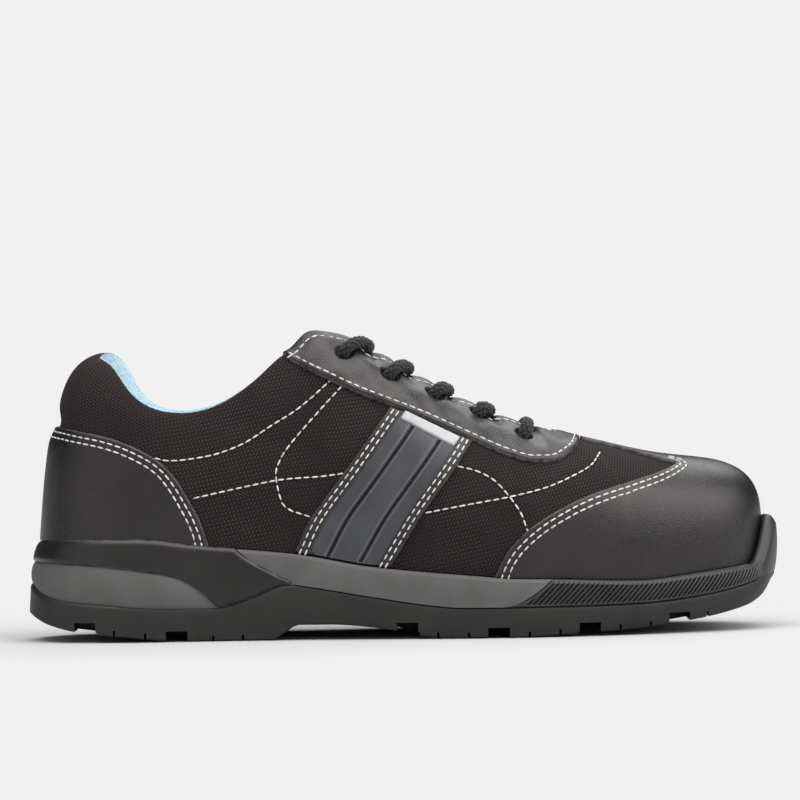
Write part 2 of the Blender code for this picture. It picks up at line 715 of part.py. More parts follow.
def make_insole():
    u = ALL_ROUND
    edge = inset(u) + WALL + LINING_FREE
    foot = seat_z(u) + GAP
    places = [(edge, foot), (edge, foot + INSOLE)]
    block = sole_block(u, places)
    skin = Skin()
    skin.loop_grid(block)
    skin.ladder(block[:, 0])
    skin.ladder(block[:, -1])
    skin.finish("insole", "insole")


def make_upper():
    """One hollow wall, open at the collar, the throat and underneath."""
    u = np.append(ALL_ROUND, TURN)[:, None]
    v = np.linspace(0, 1, 11)[None, :]
    outside = off_wall(u, v, 0.0)
    inner_v = np.linspace(0, 1, 8)[None, :]
    inside = off_wall(u, inner_v, -wall_thickness(u, inner_v))
    skin = Skin()
    outer_rows = skin.grid(outside)
    inner_rows = skin.grid(inside)
    skin.strip(outer_rows[0], inner_rows[0])
    open_top = beside(u[:, 0]) >= LAST - CLOSED
    outer_half = u[:, 0] <= LAST
    for side in (outer_half, ~outer_half):
        rim = np.nonzero(open_top & side)[0]
        skin.strip([outer_rows[-1][i] for i in rim], [inner_rows[-1][i] for i in rim])
    skin.finish("upper", "textile")


def stations(start, end, extra=()):
    """The ring's own places between two ends, so that overlays follow the upper's facets."""
    inner = [s for s in (*(ALL_ROUND - TURN), *ALL_ROUND) if start + 0.04 < s < end - 0.04]
    kept = [s for s in inner if all(abs(s - e) > 0.04 for e in extra)]
    return np.array(sorted([start, *kept, *extra, end]))


def overlay_block(u, low, high, rows):
    share = np.linspace(0, 1, rows)[None, :]
    v = low[:, None] + (high - low)[:, None] * share
    return off_wall(u[:, None], v, SEAM)


def make_heel_counter():
    counter = line(COUNTER_LINE)
    foot_x = along(COUNTER_LINE[-1][0])
    outer_end = where(lambda p: sole_edge(p, inset(p))[0], foot_x, 0.0, LAST)
    inner_end = where(lambda p: sole_edge(TURN - p, inset(TURN - p))[0], foot_x, 0.0, LAST)
    u = stations(-inner_end, outer_end)
    skin = Skin()
    skin.grid(overlay_block(u, np.zeros(len(u)), height_on_wall(u, counter), 5))
    skin.finish("heel_counter", "leather", closed=False, thickness=LEATHER)


def make_toe_cap():
    """Toe cap, with the strip that runs back along the ridge between the textile's two points."""
    edge = line(TOE_CAP_LINE)

    def textile_height(u):
        """How much textile shows between the cap and the strip."""
        return strip_on_wall(u) - height_on_wall(u, edge)

    def strip_end(u):
        """Share of the way up each wall where the strip stops short of the eyestay, 1 ahead of there."""
        columns = wall_columns(u)
        shares = climb_shares(columns)
        return np.array([np.interp(-strip_x, -c[:, 0], s) for c, s in zip(columns, shares)])

    foot_x = along(TOE_CAP_LINE[0][0])
    strip_x = along(EYESTAY_LINE[-1][0]) + 2 * GAP
    outer_foot = where(lambda p: sole_edge(p, inset(p))[0], foot_x, 0.0, LAST)
    inner_foot = TURN - where(lambda p: sole_edge(TURN - p, inset(TURN - p))[0], foot_x, 0.0, LAST)
    strip_start = where(top_x, strip_x, CLOSED, LAST)
    outer_corner = where(lambda p: strip_end(p) - strip_on_wall(p), 0.0, 8.0, strip_start)
    inner_corner = where(
        lambda p: strip_end(TURN - p) - strip_on_wall(TURN - p), 0.0, 8.0, strip_start
    )
    outer_tip = where(lambda p: -textile_height(p), 0.0, CLOSED + 0.2, LAST)
    inner_tip = TURN - where(lambda p: -textile_height(TURN - p), 0.0, CLOSED + 0.2, LAST)
    ends = (outer_corner, strip_start, outer_tip, inner_tip, TURN - strip_start, TURN - inner_corner)
    u = stations(outer_foot, inner_foot, ends)
    low = height_on_wall(u, edge)
    high = strip_on_wall(u)
    whole = (u > outer_tip - 0.01) & (u < inner_tip + 0.01)
    tips = [outer_tip, inner_tip]
    joint = np.interp(u, tips, height_on_wall(tips, edge))
    meet = np.where(whole, joint, low)
    skin = Skin()
    skin.grid(overlay_block(u, np.zeros(len(u)), meet, 7))
    on_strip = (u > outer_corner - 0.01) & (u < TURN - inner_corner + 0.01)
    strip_low = np.where(whole, joint, high)[on_strip]
    strip_high = np.maximum(strip_end(u)[on_strip], strip_low)
    skin.grid(overlay_block(u[on_strip], strip_low, strip_high, 4))
    skin.finish("toe_cap", "leather", closed=False, thickness=LEATHER)


def eyestay_ends():
    """Places round the ring where the eyestay starts at the collar and ends on the ridge."""
    start = where(top_x, along(EYESTAY_LINE[0][0]), 3.0, LAST)
    end = where(top_x, along(EYESTAY_LINE[-1][0]), CLOSED, LAST)
    return start, end


def make_eyestay():
    """Leather facing down both sides of the throat and round its front end, with its lace holes."""
    edge = line(EYESTAY_LINE)
    start, end = eyestay_ends()
    skin = Skin()
    for first, last in ((start, end), (TURN - end, TURN - start)):
        u = stations(first, last)
        low = height_on_wall(u, edge)
        skin.grid(overlay_block(u, low, np.ones(len(u)), 4))
    eyestay = skin.finish("eyestay", "leather", closed=False, thickness=LEATHER)
    for n, (u, v) in enumerate(lace_places()):
        middle = on_wall(u, v)
        normal = wall_normals(u, v)
        bm = bmesh.new()
        bmesh.ops.create_cone(
            bm, cap_ends=True, segments=8, depth=8 * MM,
            radius1=LACE_HOLE_RADIUS * MM, radius2=LACE_HOLE_RADIUS * MM,
        )
        hole = add_cutter(f"lace_hole_{n}", bm, "lace_hole_cutters")
        hole.location = middle * MM
        hole.rotation_mode = "QUATERNION"
        hole.rotation_quaternion = Vector(np.ravel(normal).tolist()).to_track_quat("Z", "Y")
    cut(eyestay, "lace_hole_cutters")


def lace_places():
    """Places (u, v) of the lace holes: the outer row from the top, then the inner row."""
    points = [(float(along(hole.along)), float(up(hole.up))) for hole in LACE_HOLES]
    outer = zip(*locate(points))
    inner = zip(*locate(points, inner_side=True))
    return [*outer, *inner]


def make_side_band(name, inner_side):
    """Slanting leather band from the sole to the eyestay."""
    rear, front = (np.array(points) for points in (BAND_REAR, BAND_FRONT))
    rows = np.linspace(0, 1, 9)
    rows_in = np.linspace(0, 1, len(rear))
    block = []
    for share in np.linspace(0, 1, 5):
        percent = rear + (front - rear) * share
        x = along(np.interp(rows, rows_in, percent[:, 0]))
        z = up(np.interp(rows, rows_in, percent[:, 1]))
        z = np.maximum(z, sole_z(x) + 3 * GAP)
        u, v = locate(list(zip(x, z)), inner_side)
        block.append(off_wall(u, v, SEAM))
    block = np.array(block)
    skin = Skin()
    skin.grid(block[::-1] if inner_side else block)
    skin.finish(name, "band", closed=False, thickness=BAND_LEATHER)


def make_side_tag():
    """Small reflective tag across the head of the outer band."""
    rear_foot, front_foot, front_head, rear_head = (np.array(p) for p in TAG_CORNERS)
    block = []
    for share in np.linspace(0, 1, 5):
        foot = rear_foot + (front_foot - rear_foot) * share
        head = rear_head + (front_head - rear_head) * share
        ends = [(float(along(p[0])), float(up(p[1]))) for p in (foot, head)]
        u, v = locate(ends)
        block.append(off_wall(u, v, SEAM + BAND_LEATHER + GAP))
    skin = Skin()
    skin.grid(np.array(block))
    skin.finish("side_tag", "tag", closed=False, thickness=TAG_CLOTH)


def make_tongue():
    """Padded tongue under the throat, from its front end to the top of the eyestay."""
    start = where(top_x, along(36.5), 3.0, LAST)
    u = stations(start, CLOSED + 0.25)
    margin = np.linspace(1 - TONGUE_MARGIN, 1.0, 4)[None, :]
    sheets = []
    for places in (u, TURN - u):
        depth = wall_thickness(places[:, None], margin) + 2 * GAP
        sheets.append(off_wall(places[:, None], margin, -np.maximum(depth, WALL + 2 * GAP)))
    outer, inner = sheets
    opening = np.linalg.norm(outer[:, -1] - inner[:, -1], axis=1)
    crown = np.minimum(1.5 + 0.12 * opening, 0.35 * opening)
    middle = []
    for share in (0.25, 0.5, 0.75):
        bridge = outer[:, -1] * (1 - share) + inner[:, -1] * share
        bridge[:, 2] += crown * math.sin(math.pi * share) ** 0.8
        middle.append(bridge)
    block = np.concatenate([outer, np.stack(middle, axis=1), inner[:, ::-1]], axis=1)
    skin = Skin()
    skin.grid(block)
    tongue = skin.finish("tongue", "textile", closed=False, thickness=TONGUE)
    tongue.modifiers["Thickness"].offset = -1.0


def make_laces():
    """Straight bars from hole to hole, over the eyestay's edges and clear of the tongue."""
    places = lace_places()
    count = len(LACE_HOLES)
    lift = SEAM + LEATHER + LACE_CLEARANCE + LACE_RADIUS
    for n, hole in enumerate(LACE_HOLES):
        path = []
        for u, v in (places[n], places[n + count]):
            cross = where(top_x, float(along(hole.along + hole.ahead)), 4.0, CLOSED)
            cross = cross if u < LAST else TURN - cross
            share = np.linspace(0, 1, 4)
            path.append(off_wall(u + (cross - u) * share, v + (0.98 - v) * share, lift))
        outer, inner = path[0], path[1][::-1]
        span = [(outer[-1] + inner[0]) / 2]
        span[0][2] += LACE_HUMP
        points = np.concatenate([outer, span, inner])
        curve = bpy.data.curves.new(f"lace_bar_{n + 1}", "CURVE")
        curve.dimensions = "3D"
        curve.bevel_depth = LACE_RADIUS * MM
        curve.bevel_resolution = 2
        curve.use_fill_caps = True
        spline = curve.splines.new("POLY")
        spline.points.add(len(points) - 1)
        for knot, point in zip(spline.points, points):
            knot.co = (*(point * MM), 1.0)
        add_object(f"lace_bar_{n + 1}", curve, "lace")


def main():
    clear_scene()
    make_outsole()
    make_midsole()
    make_heel_stabiliser()
    make_insole()
    make_upper()
    make_heel_counter()
    make_toe_cap()
    make_eyestay()
    make_side_band("side_band_outer", inner_side=False)
    make_side_band("side_band_inner", inner_side=True)
    make_side_tag()
    make_tongue()
    make_laces()


main()
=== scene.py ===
"""Low safety shoe for the right foot: the finished surface of every piece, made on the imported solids' frame.

Sizes are millimetres until a mesh is made, which is in metres. +X points to the toe, -Y to the outer side of
the foot and +Z up. The origin is on the floor, under the middle of the shoe.
Tables give places in percent: along the length from the heel, and up the instep height.
"""

import math
from collections import namedtuple

import bmesh
import bpy
import numpy as np
from mathutils import Matrix, Vector
from mathutils.bvhtree import BVHTree
from mathutils.geometry import delaunay_2d_cdt
from mathutils.kdtree import KDTree


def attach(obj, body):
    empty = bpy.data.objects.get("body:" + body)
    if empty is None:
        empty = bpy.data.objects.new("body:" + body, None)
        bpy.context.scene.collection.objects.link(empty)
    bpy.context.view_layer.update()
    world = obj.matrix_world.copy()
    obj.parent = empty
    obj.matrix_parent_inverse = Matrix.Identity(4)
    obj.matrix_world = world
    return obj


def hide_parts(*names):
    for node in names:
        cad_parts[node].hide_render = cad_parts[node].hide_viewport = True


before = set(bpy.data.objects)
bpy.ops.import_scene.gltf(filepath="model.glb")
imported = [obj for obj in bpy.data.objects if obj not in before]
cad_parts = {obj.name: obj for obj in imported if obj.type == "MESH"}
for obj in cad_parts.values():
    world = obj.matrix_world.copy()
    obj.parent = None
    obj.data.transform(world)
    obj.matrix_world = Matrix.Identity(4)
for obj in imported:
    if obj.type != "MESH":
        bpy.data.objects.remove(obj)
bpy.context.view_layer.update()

# Driving sizes
LENGTH = 301.0  # sole, heel to toe
BALL_WIDTH = 105.0  # sole, across the ball
INSTEP_HEIGHT = 123.0  # floor to the top of the throat
MM = 0.001

# Layers
GAP = 0.35  # clearance between neighbouring pieces
WALL = 2.2  # lined textile of the upper
CLOTH = 0.9  # the textile alone
SEAM = 0.12  # overlay to the textile under it
LEATHER = 1.85  # top of the eyestay above the textile, the thickest overlay
COVER = 1.5  # top of the toe cap and of the heel counter
BAND_PANEL = 1.4  # top of the side band's panel
BAND_STRIP = 1.9  # top of the strips along its edges
TAG_BED = 1.0  # the tag's foot, sunk into the panel
TAG_FACE = 2.3
STABILISER = 1.3
CRADLE_SWELL = 0.3  # the stabiliser swells by this much towards its top edge
CRADLE_SWELL_HEIGHT = 12.0
RECESS = 1.2  # the midsole's heel stands back this far under the stabiliser
INSERT_SWELL = 1.3  # the part of it that shows swells out again
INSERT_FADE = 6.0  # percent of the length over which that swell fades
TONGUE = 3.5
TONGUE_REAR = 36.5  # percent along
TONGUE_LENGTH = 0.38 * LENGTH
TONGUE_END = 2.5  # length over which its rear end is rounded
TONGUE_SIDE = 0.1  # share of its half-width over which its sides are
QUILT_PITCH = 14.0  # seams across the tongue
QUILT_DEPTH = 0.5
QUILT_WIDTH = 1.2
INSOLE = 4.0
MIDSOLE_ROUND = 1.2  # radius along the midsole's top edge
INSOLE_ROUND = 1.5  # and along the insole's
RIM = 3.4  # outsole wall that holds the forefoot
SHOULDER = 1.2  # how far the sole's top edge rounds in
HEEL_SHOULDER = 2.0  # how much further it does at the heel
HEEL_REACH = 2.2  # places round from the heel
SHOULDER_CURVE = 6  # how late up the side the shoulder starts
TUCK_CURVE = 4  # how fast the tread's tuck fades up the side
BUMPER_RISE = 18.0  # of the sole's side over the toe
STRIP_HALF_WIDTHS = (10.0, 18.0)  # leather strip over the ridge, at the eyestay and at the toe cap
STRIP_CLEAR = 0.4  # from the strip to the eyestay
LINING_FREE = 1.0  # from the lining to the insole
LINING_CLEAR = 0.05  # from the textile's back to the lining
CLOTH_SHARE = 0.45  # the most of the wall's thickness that the textile takes
LINING_SHARE = 0.5  # and where the lining then starts
LINING_CREST_START = 0.9  # share of the way up
LINING_SETBACK = 0.5  # how far the lining's crest leans in
LINING_CREST = 0.8  # the lining rolls up over the collar's rim by this much at the heel
LINING_SIDES = 1.6  # and by this much more along the sides
LINING_SIDES_SPAN = (1.7, 3.0)  # places round from the heel
LINING_ROLL = 2.2  # the padding stands higher still behind the ankle's inner side
LINING_ROLL_PLACE = 1.5  # places round from the heel
LINING_ROLL_WIDTH = 0.45
COLLAR_ROLL = 0.5  # how far the textile rolls in at the collar's rim
COLLAR_ROLL_START = 0.92  # share of the way up
PADDING_CLIMB = (0.25, 0.55)  # shares of the way up where the collar's padding starts and is full
WAIST = 2.2  # hollow of the heel just above the counter's top
WAIST_CLIMB = 0.64  # share of the climb where it is deepest
WAIST_SPREAD = 0.07
WAIST_REACH = 1.6  # places round from the heel
TONGUE_MARGIN = 0.16  # share of each wall that the tongue reaches under
CUT_EDGE = 0.9  # radius that a cut leather edge rolls over
EYESTAY_WAVE = 0.45  # height of the eyestay's soft waves
EYESTAY_WAVE_FADE = 5.0  # they fade out this near a cut edge

# Laces
LACE_RADIUS = 2.6
LACE_HOLE_RADIUS = 2.9
LACE_PRESS = 2.6  # how far a lace dents the throat's edge
LACE_PRESS_WIDTH = 0.13  # in places round the ring
LACE_PRESS_CLIMB = (0.8, 0.98)  # shares of the way up where the dent starts and is full
LACE_OVER = 0.985  # share of the way up where a lace leaves the facing
LACE_CROWN = 0.6  # rise of a lace in the middle of the throat
LACE_STEP = 0.32  # between the rings of its mesh
YARNS = 6  # yarns that wind each way in the braid
YARN_LAY = 13.0  # length of one turn
BRAID_CORE = 0.66 * LACE_RADIUS
YARN_RISE = 0.12 * LACE_RADIUS  # how far a yarn rises over the core and sinks into it
YARN_THICKNESS = 0.22 * LACE_RADIUS
YARN_WIDTH = 0.3 * LACE_RADIUS

# Thread
STITCH_PITCH = 3.35
STITCH_LENGTH = 3.1
STITCH_THICKNESS = 0.78
STITCH_SINK = 0.45  # how deep a row pulls the surface in
STITCH_BEAT = 0.35  # share of that which comes and goes with each stitch, to both sides of the mean
PULL_WIDTH = 0.9  # how far to each side it does so in leather
CLOTH_PULL_WIDTH = 1.5  # and in the textile
ROW_INSETS = (2.3, 4.6)  # a double row's distances from the edge
SKIRT_INSETS = (2.4,)  # the eyestay's rows, from its lower edge
THROAT_INSETS = (4.6,)  # and from the throat
ROW_SUNK = 0.1  # thread's middle below the leather's top
QUARTER_LIFT = 0.2 * STITCH_THICKNESS - 0.6 * STITCH_SINK  # thread's middle above the textile
QUARTER_STEP = 0.6  # percent between the points of a row on the textile

# Tread and side ribs
LUG_DEPTH = 4.2
NOTCH_WIDTH = 8.5
CHANNEL_WIDTH = 4.6
CHANNEL_SHARE = 0.36  # of the tread's half-width, where the two channels run
CUT_BELOW = 7.0  # how far the cutters reach below the tread
LUG_CHAMFER = 0.7
SIPE_WIDTH = 0.9
SIPE_DEPTH = 2.4
SIPE_CHAMFER = 0.15
RIB_PITCH = 2.1
RIB_DEPTH = 1.1
RIB_SLOPE = 1.0  # each rib runs forward by this much for each mm that it climbs
RIB_HEIGHT = 13.0
RIB_FOOT = (0.4, 1.2)  # heights where the ribs start and are full
RIB_HEAD = (1.2, 2.0)  # distances below that where they end and are still full
PARTING_STEP = 0.9  # how far the sole's side steps in at the parting line along the ribs
WALL_ROUND = 1.3  # radius along the ribbed wall's top
BUMPER_ROUND = 2.9  # and along the bumper's top

Section = namedtuple(
    "Section",
    "along outer inner tuck inset top_along ridge gap top lift lean power bulge finish pad",
)
# Sole edge: along, outer and inner half-widths in percent of the ball width, tuck of the tread in mm.
# Upper: inset of its foot in mm, then the rim or ridge point that each side's wall climbs to.
# Wall: lean, squareness, bulge in mm, the angle where it stops, and the collar's padding in mm.
SECTIONS = [
    Section(0.0, 0.0, 0.0, -1.8, 4.3, 9.5, 0.0, 0.0, 92.7, 0.0, 0.45, 10.0, 1.6, 90, 8.0),
    Section(3.2, 23.8, 23.3, -1.5, 4.4, 11.5, 0.0, 14.8, 88.9, 4.2, 0.45, 10.0, 1.6, 90, 8.0),
    Section(12.1, 35.7, 35.2, 0.5, 4.5, 15.4, 0.0, 23.8, 77.2, 0.9, 0.50, 9.0, 1.5, 90, 7.5),
    Section(22.8, 36.7, 34.3, 2.0, 4.5, 22.8, 0.0, 27.6, 73.8, 1.0, 0.55, 8.0, 1.5, 90, 7.0),
    Section(33.1, 38.6, 32.9, 2.5, 4.3, 30.7, 0.0, 26.2, 84.4, 0.8, 0.40, 6.0, 1.5, 90, 6.0),
    Section(43.0, 42.4, 34.3, 2.0, 4.2, 38.7, 0.0, 18.1, 98.2, 0.0, 0.10, 3.2, 2.0, 72, 1.5),
    Section(53.3, 46.7, 39.0, 2.0, 4.6, 49.0, 0.3, 15.2, 87.9, 0.0, 0.0, 2.8, 2.5, 64, 0.0),
    Section(62.6, 49.8, 45.2, 2.0, 5.4, 59.3, 0.6, 13.8, 73.7, 0.0, 0.0, 2.7, 2.5, 64, 0.0),
    Section(71.3, 48.9, 49.9, 2.5, 5.8, 66.6, 1.0, 9.0, 66.4, 0.0, 0.0, 2.8, 2.0, 74, 0.0),
    Section(80.2, 44.3, 48.6, 3.5, 6.0, 71.3, 1.5, 0.0, 63.3, 0.0, 0.0, 3.0, 1.5, 90, 0.0),
    Section(88.5, 35.7, 43.8, 3.0, 6.2, 79.9, 2.0, 0.0, 58.1, 0.0, 0.0, 3.6, 1.0, 90, 0.0),
    Section(96.3, 21.0, 31.4, 2.6, 7.0, 85.2, 2.5, 0.0, 55.8, 0.0, 0.0, 4.8, 0.5, 90, 0.0),
    Section(100.0, -5.2, 5.2, 2.3, 7.8, 87.5, 2.5, 0.0, 55.0, 0.0, 0.0, 5.5, 0.0, 90, 0.0),
]
LAST = len(SECTIONS) - 1  # the toe tip's place round the ring, where the heel's is 0
TURN = 2 * LAST
CLOSED = 9  # from this section on, the two sides meet along the ridge
# Places round from the heel, on the outer side and on the inner side
BOTH_SIDES = (lambda place: place, lambda place: TURN - place)
THROAT_SEARCH = 3.0  # places on the throat are looked for from here on
SIDE_START = 0.4  # places on a side are looked for from here to as far from the toe tip
SAMPLES = 300  # points up each wall before they are spread evenly
TURN_WEIGHT = 30.0  # length in mm that a turn of one radian counts for in that
NET_ROUND = 1920  # columns of the fine net that holds the upper's wall
NET_UP = 241
NET_SHARES = np.linspace(0, 1, NET_UP)
GIRTH_SHARE = 0.4  # share of the way up where the length round the shoe is measured
EDGE_SNAP = 0.003  # a place this near the foot or the rim is put on it

# Flat patterns and panel meshes
OUTLINE_STEP = 0.8
ROUND_STEP = 0.5
BESIDE_STEP = 0.6
BESIDE_TRIES = 13
BESIDE_WINDOW = 13  # points over which a row's distance from its edge is evened out
ROLL_SHARES = (0.12, 0.35, 0.7, 1.1)  # rings of points over a rolled edge, in shares of its radius
TRIANGLE_HEIGHT = 0.866
GUIDE_CLEAR = 0.4  # from a guide line's points to the outline

# Lines along the shoe's side: percent along, percent up
TREAD_LINE = [
    (0.0, 8.9), (2.8, 5.7), (6.5, 3.5), (13.5, 1.6), (20.8, 0.0), (32.1, 0.0), (33.4, 1.8),
    (35.7, 4.9), (40.0, 4.9), (43.4, 4.4), (48.3, 2.8), (52.7, 0.6), (55.3, 0.0), (64.6, 0.0),
    (69.9, 0.6), (80.6, 2.1), (89.2, 4.6), (94.9, 7.4), (96.6, 8.7), (97.9, 10.7), (99.6, 15.9),
]
PARTING_LINE = [
    (0.0, 18.7), (1.9, 15.4), (4.8, 13.4), (9.2, 12.3), (19.4, 10.6), (24.4, 10.7), (26.1, 11.1),
    (29.5, 13.7), (34.7, 17.9), (37.0, 17.2), (45.1, 13.8), (53.3, 10.7), (56.8, 9.9), (61.3, 9.8),
    (69.9, 9.8), (80.6, 10.2), (89.2, 12.2), (94.9, 15.0), (98.2, 17.9),
]
SOLE_LINE = [
    (0.0, 32.5), (6.8, 32.8), (14.5, 32.8), (22.1, 30.7), (35.4, 27.6), (45.1, 23.3), (59.0, 19.8),
    (64.3, 18.7), (69.9, 18.4), (80.9, 17.4), (89.2, 19.2), (95.2, 20.8), (99.8, 22.0),
]
STABILISER_FOOT = [
    (0.0, 25.8), (4.2, 25.4), (9.3, 24.5), (14.5, 23.0), (19.4, 20.8), (21.9, 17.9), (23.7, 14.3),
    (24.9, 11.4),
]
STABILISER_ARROW = [(27.7, 29.3), (29.6, 25.7), (32.0, 22.4), (34.9, 18.7)]
STABILISER_RECESS_ENDS = (33.0, 37.0)
COUNTER_LINE = [
    (2.0, 70.2), (6.0, 68.6), (11.1, 65.9), (16.0, 60.8), (18.3, 56.9), (19.9, 52.4), (21.6, 45.5),
    (23.1, 38.2), (24.1, 30.7),
]
EYESTAY_LINE = [
    (34.2, 90.8), (37.4, 86.6), (43.4, 79.3), (52.3, 70.3), (58.3, 63.4), (64.0, 57.3), (66.9, 55.4),
    (69.4, 55.4), (71.6, 57.7), (72.9, 60.2), (73.6, 63.4),
]
TOE_CAP_LINE = [
    (61.5, 19.5), (63.0, 26.7), (65.1, 32.4), (68.2, 38.0), (74.3, 45.0), (80.6, 49.3), (83.7, 51.4),
    (86.6, 54.2),
]
BAND_REAR = [(35.5, 28.5), (37.5, 38.6), (41.6, 51.9), (45.2, 63.8), (48.25, 74.1)]
BAND_FRONT = [(48.0, 23.3), (51.8, 38.1), (53.6, 44.4), (57.1, 55.9), (58.82, 62.45)]
BAND_STRIPS = ((0.0, 0.165), (0.855, 1.0))  # shares of the band's width that the edge strips cover
BAND_ROWS = (0.055, 0.115, 0.9, 0.955)  # stitch rows on the strips
BAND_GROOVES = (0.345, 0.685)
BAND_LAP = 0.03  # share of the width that the panel runs under each strip
BAND_CLEAR = 0.5  # from the band's head to the eyestay
WELT_HEIGHT = 0.4
WELT_PLACE = 1.2  # from the groove's middle
WELT_WIDTH = 0.45
GROOVE_DEPTH = 0.95
GROOVE_WIDTH = 0.42
# Mesh lines beside each groove, in mm from its middle
GROOVE_GUIDES = (-2.2, -1.7, -1.35, -1.0, -0.6, -0.3, 0.001, 0.3, 0.6, 1.0, 1.35, 1.7, 2.2)
TAG_CORNERS = [(49.5, 70.0), (56.4, 60.6), (57.3, 63.4), (50.1, 72.5)]  # foot rear, front, head front, rear
LaceHole = namedtuple("LaceHole", "along up ahead")  # percent, and how far ahead the lace crosses the edge
LACE_HOLES = [
    LaceHole(42.2, 91.5, 2.8),
    LaceHole(48.1, 84.0, 2.2),
    LaceHole(53.9, 77.4, 1.7),
    LaceHole(59.7, 70.8, 1.4),
    LaceHole(65.7, 63.6, 0.4),
]
RIM_CORNER = [(35.3, -1.5), (37.5, 1.2)]  # percent along, rise of the rim in mm
RIM_CORNER_WIDTH = 4.0
RIM_SWEEP = (62.6, 69.0)  # outsole wall climbs from the parting line to the sole line
RIM_SWEEP_CURVE = 1.7
BUMPER_SPAN = (LAST - 1.0, LAST - 0.25)  # the bumper climbs between these places
RIB_FADE = (LAST - 0.78, LAST - 1.0)  # and the ribs fade in on the way back from it
STRIP_SPAN = (CLOSED + 0.2, CLOSED + 1.4)  # the strip over the ridge widens between these places

# Single rows of stitching on the textile, the same on both sides of the shoe
QUARTER_ROWS = [
    [(17.5, 58.9), (19.1, 58.2), (22.0, 58.7), (25.4, 60.2), (29.0, 63.5), (32.5, 68.8), (36.4, 74.7),
     (40.5, 83.2)],
    [(41.7, 80.6), (38.2, 71.5), (35.0, 62.7), (33.7, 57.9), (33.1, 53.1), (33.7, 45.1), (34.7, 42.0),
     (37.1, 39.8)],
    [(22.6, 46.2), (28.5, 49.2), (33.7, 51.5), (38.7, 52.3), (41.6, 53.1)],
    [(57.3, 54.7), (59.3, 53.4), (61.4, 50.7), (62.9, 47.1), (64.9, 40.3), (65.9, 33.7)],
    [(53.0, 40.4), (56.2, 41.8), (59.3, 43.1), (63.7, 44.9), (68.3, 47.5), (71.3, 50.3), (74.4, 54.2),
     (75.8, 58.2)],
]
# Soft folds of the textile: two ends, depth and half-width in mm
Fold = namedtuple("Fold", "start end depth width")
FOLDS = [
    Fold((28.0, 70.5), (37.5, 60.0), 0.55, 5.0),
    Fold((26.0, 42.0), (33.0, 36.0), 0.45, 6.0),
    Fold((60.0, 56.5), (66.0, 49.5), 0.45, 5.0),
    Fold((56.0, 47.5), (62.5, 38.0), 0.40, 5.0),
    Fold((13.0, 76.0), (22.0, 68.0), -0.40, 7.0),
]

# Tread: percent along
SIDE_NOTCHES = (7.6, 19.7, 50.0, 61.9, 73.8, 85.7)
CHANNEL_SPANS = ((5.0, 33.5), (46.0, 93.0))
CENTRE_NOTCHES = (13.6, 26.0, 56.0, 67.8, 79.7)
SIPES = (11.5, 15.6, 24.5, 28.4, 54.0, 58.0, 65.9, 69.9, 77.8, 81.8, 89.5)
# Cuts across the tread, from one share of its half-width to another: side notches, centre notches, sipes
TreadCut = namedtuple("TreadCut", "places spans width depth chamfer")
NOTCH_SPANS = ((-CHANNEL_SHARE, -1.3), (CHANNEL_SHARE, 1.3))
TREAD_CUTS = [
    TreadCut(SIDE_NOTCHES, NOTCH_SPANS, NOTCH_WIDTH, LUG_DEPTH, LUG_CHAMFER),
    TreadCut(CENTRE_NOTCHES, ((-CHANNEL_SHARE, CHANNEL_SHARE),), 0.7 * NOTCH_WIDTH, LUG_DEPTH, LUG_CHAMFER),
    TreadCut(SIPES, ((-0.62, -1.3), (0.62, 1.3)), SIPE_WIDTH, SIPE_DEPTH, SIPE_CHAMFER),
]


def along(percent):
    return (np.asarray(percent, float) / 100 - 0.5) * LENGTH


def up(percent):
    return np.asarray(percent, float) / 100 * INSTEP_HEIGHT


def unit(vectors):
    return vectors / np.maximum(np.linalg.norm(vectors, axis=-1, keepdims=True), 1e-9)


def ramp(value, start, end):
    """0 up to start, 1 from end on, smooth between. The start may be the greater of the two."""
    share = np.clip((value - start) / (end - start), 0.0, 1.0)
    return share * share * (3 - 2 * share)


def hump(offset, width):
    """A bell: 1 where there is no offset, faded at about twice the width."""
    return np.exp(-((offset / width) ** 2))


def quarter_round(share):
    """Height of a rounded edge, from 0 at its foot to 1 where the round ends and beyond."""
    return np.sqrt(1 - (1 - np.clip(share, 0.0, 1.0)) ** 2)


def run_along(path):
    """Length run so far at each point of a path."""
    return np.concatenate([[0.0], np.cumsum(np.linalg.norm(np.diff(path, axis=0), axis=1))])


def read_path(places, run, path):
    """Points of a path at some lengths along it."""
    return np.stack([np.interp(places, run, path[:, k]) for k in range(path.shape[1])], axis=1)


def left_of(way):
    """Flat directions a quarter turn to the left of others."""
    return np.stack([-way[:, 1], way[:, 0]], axis=1)


def cell_corners(index):
    """The four corners of every cell in a net of points."""
    return index[:-1, :-1], index[1:, :-1], index[1:, 1:], index[:-1, 1:]


def ring(outer, inner=None):
    """A smooth closed function round the shoe: heel 0, outer side, toe LAST, inner side back to TURN."""
    inner = outer if inner is None else inner
    values = np.array([*outer, *inner[-2:0:-1]], float)
    one = np.eye(TURN)
    matrix = 4 * one + np.roll(one, 1, axis=0) + np.roll(one, -1, axis=0)
    bend = np.linalg.solve(matrix, 6 * (np.roll(values, -1) - 2 * values + np.roll(values, 1)))

    def at(u):
        u = np.mod(np.asarray(u, float), TURN)
        low = np.floor(u).astype(int) % TURN
        high = (low + 1) % TURN
        t = u - np.floor(u)
        s = 1 - t
        curve = (s**3 - s) * bend[low] + (t**3 - t) * bend[high]
        return s * values[low] + t * values[high] + curve / 6

    return at


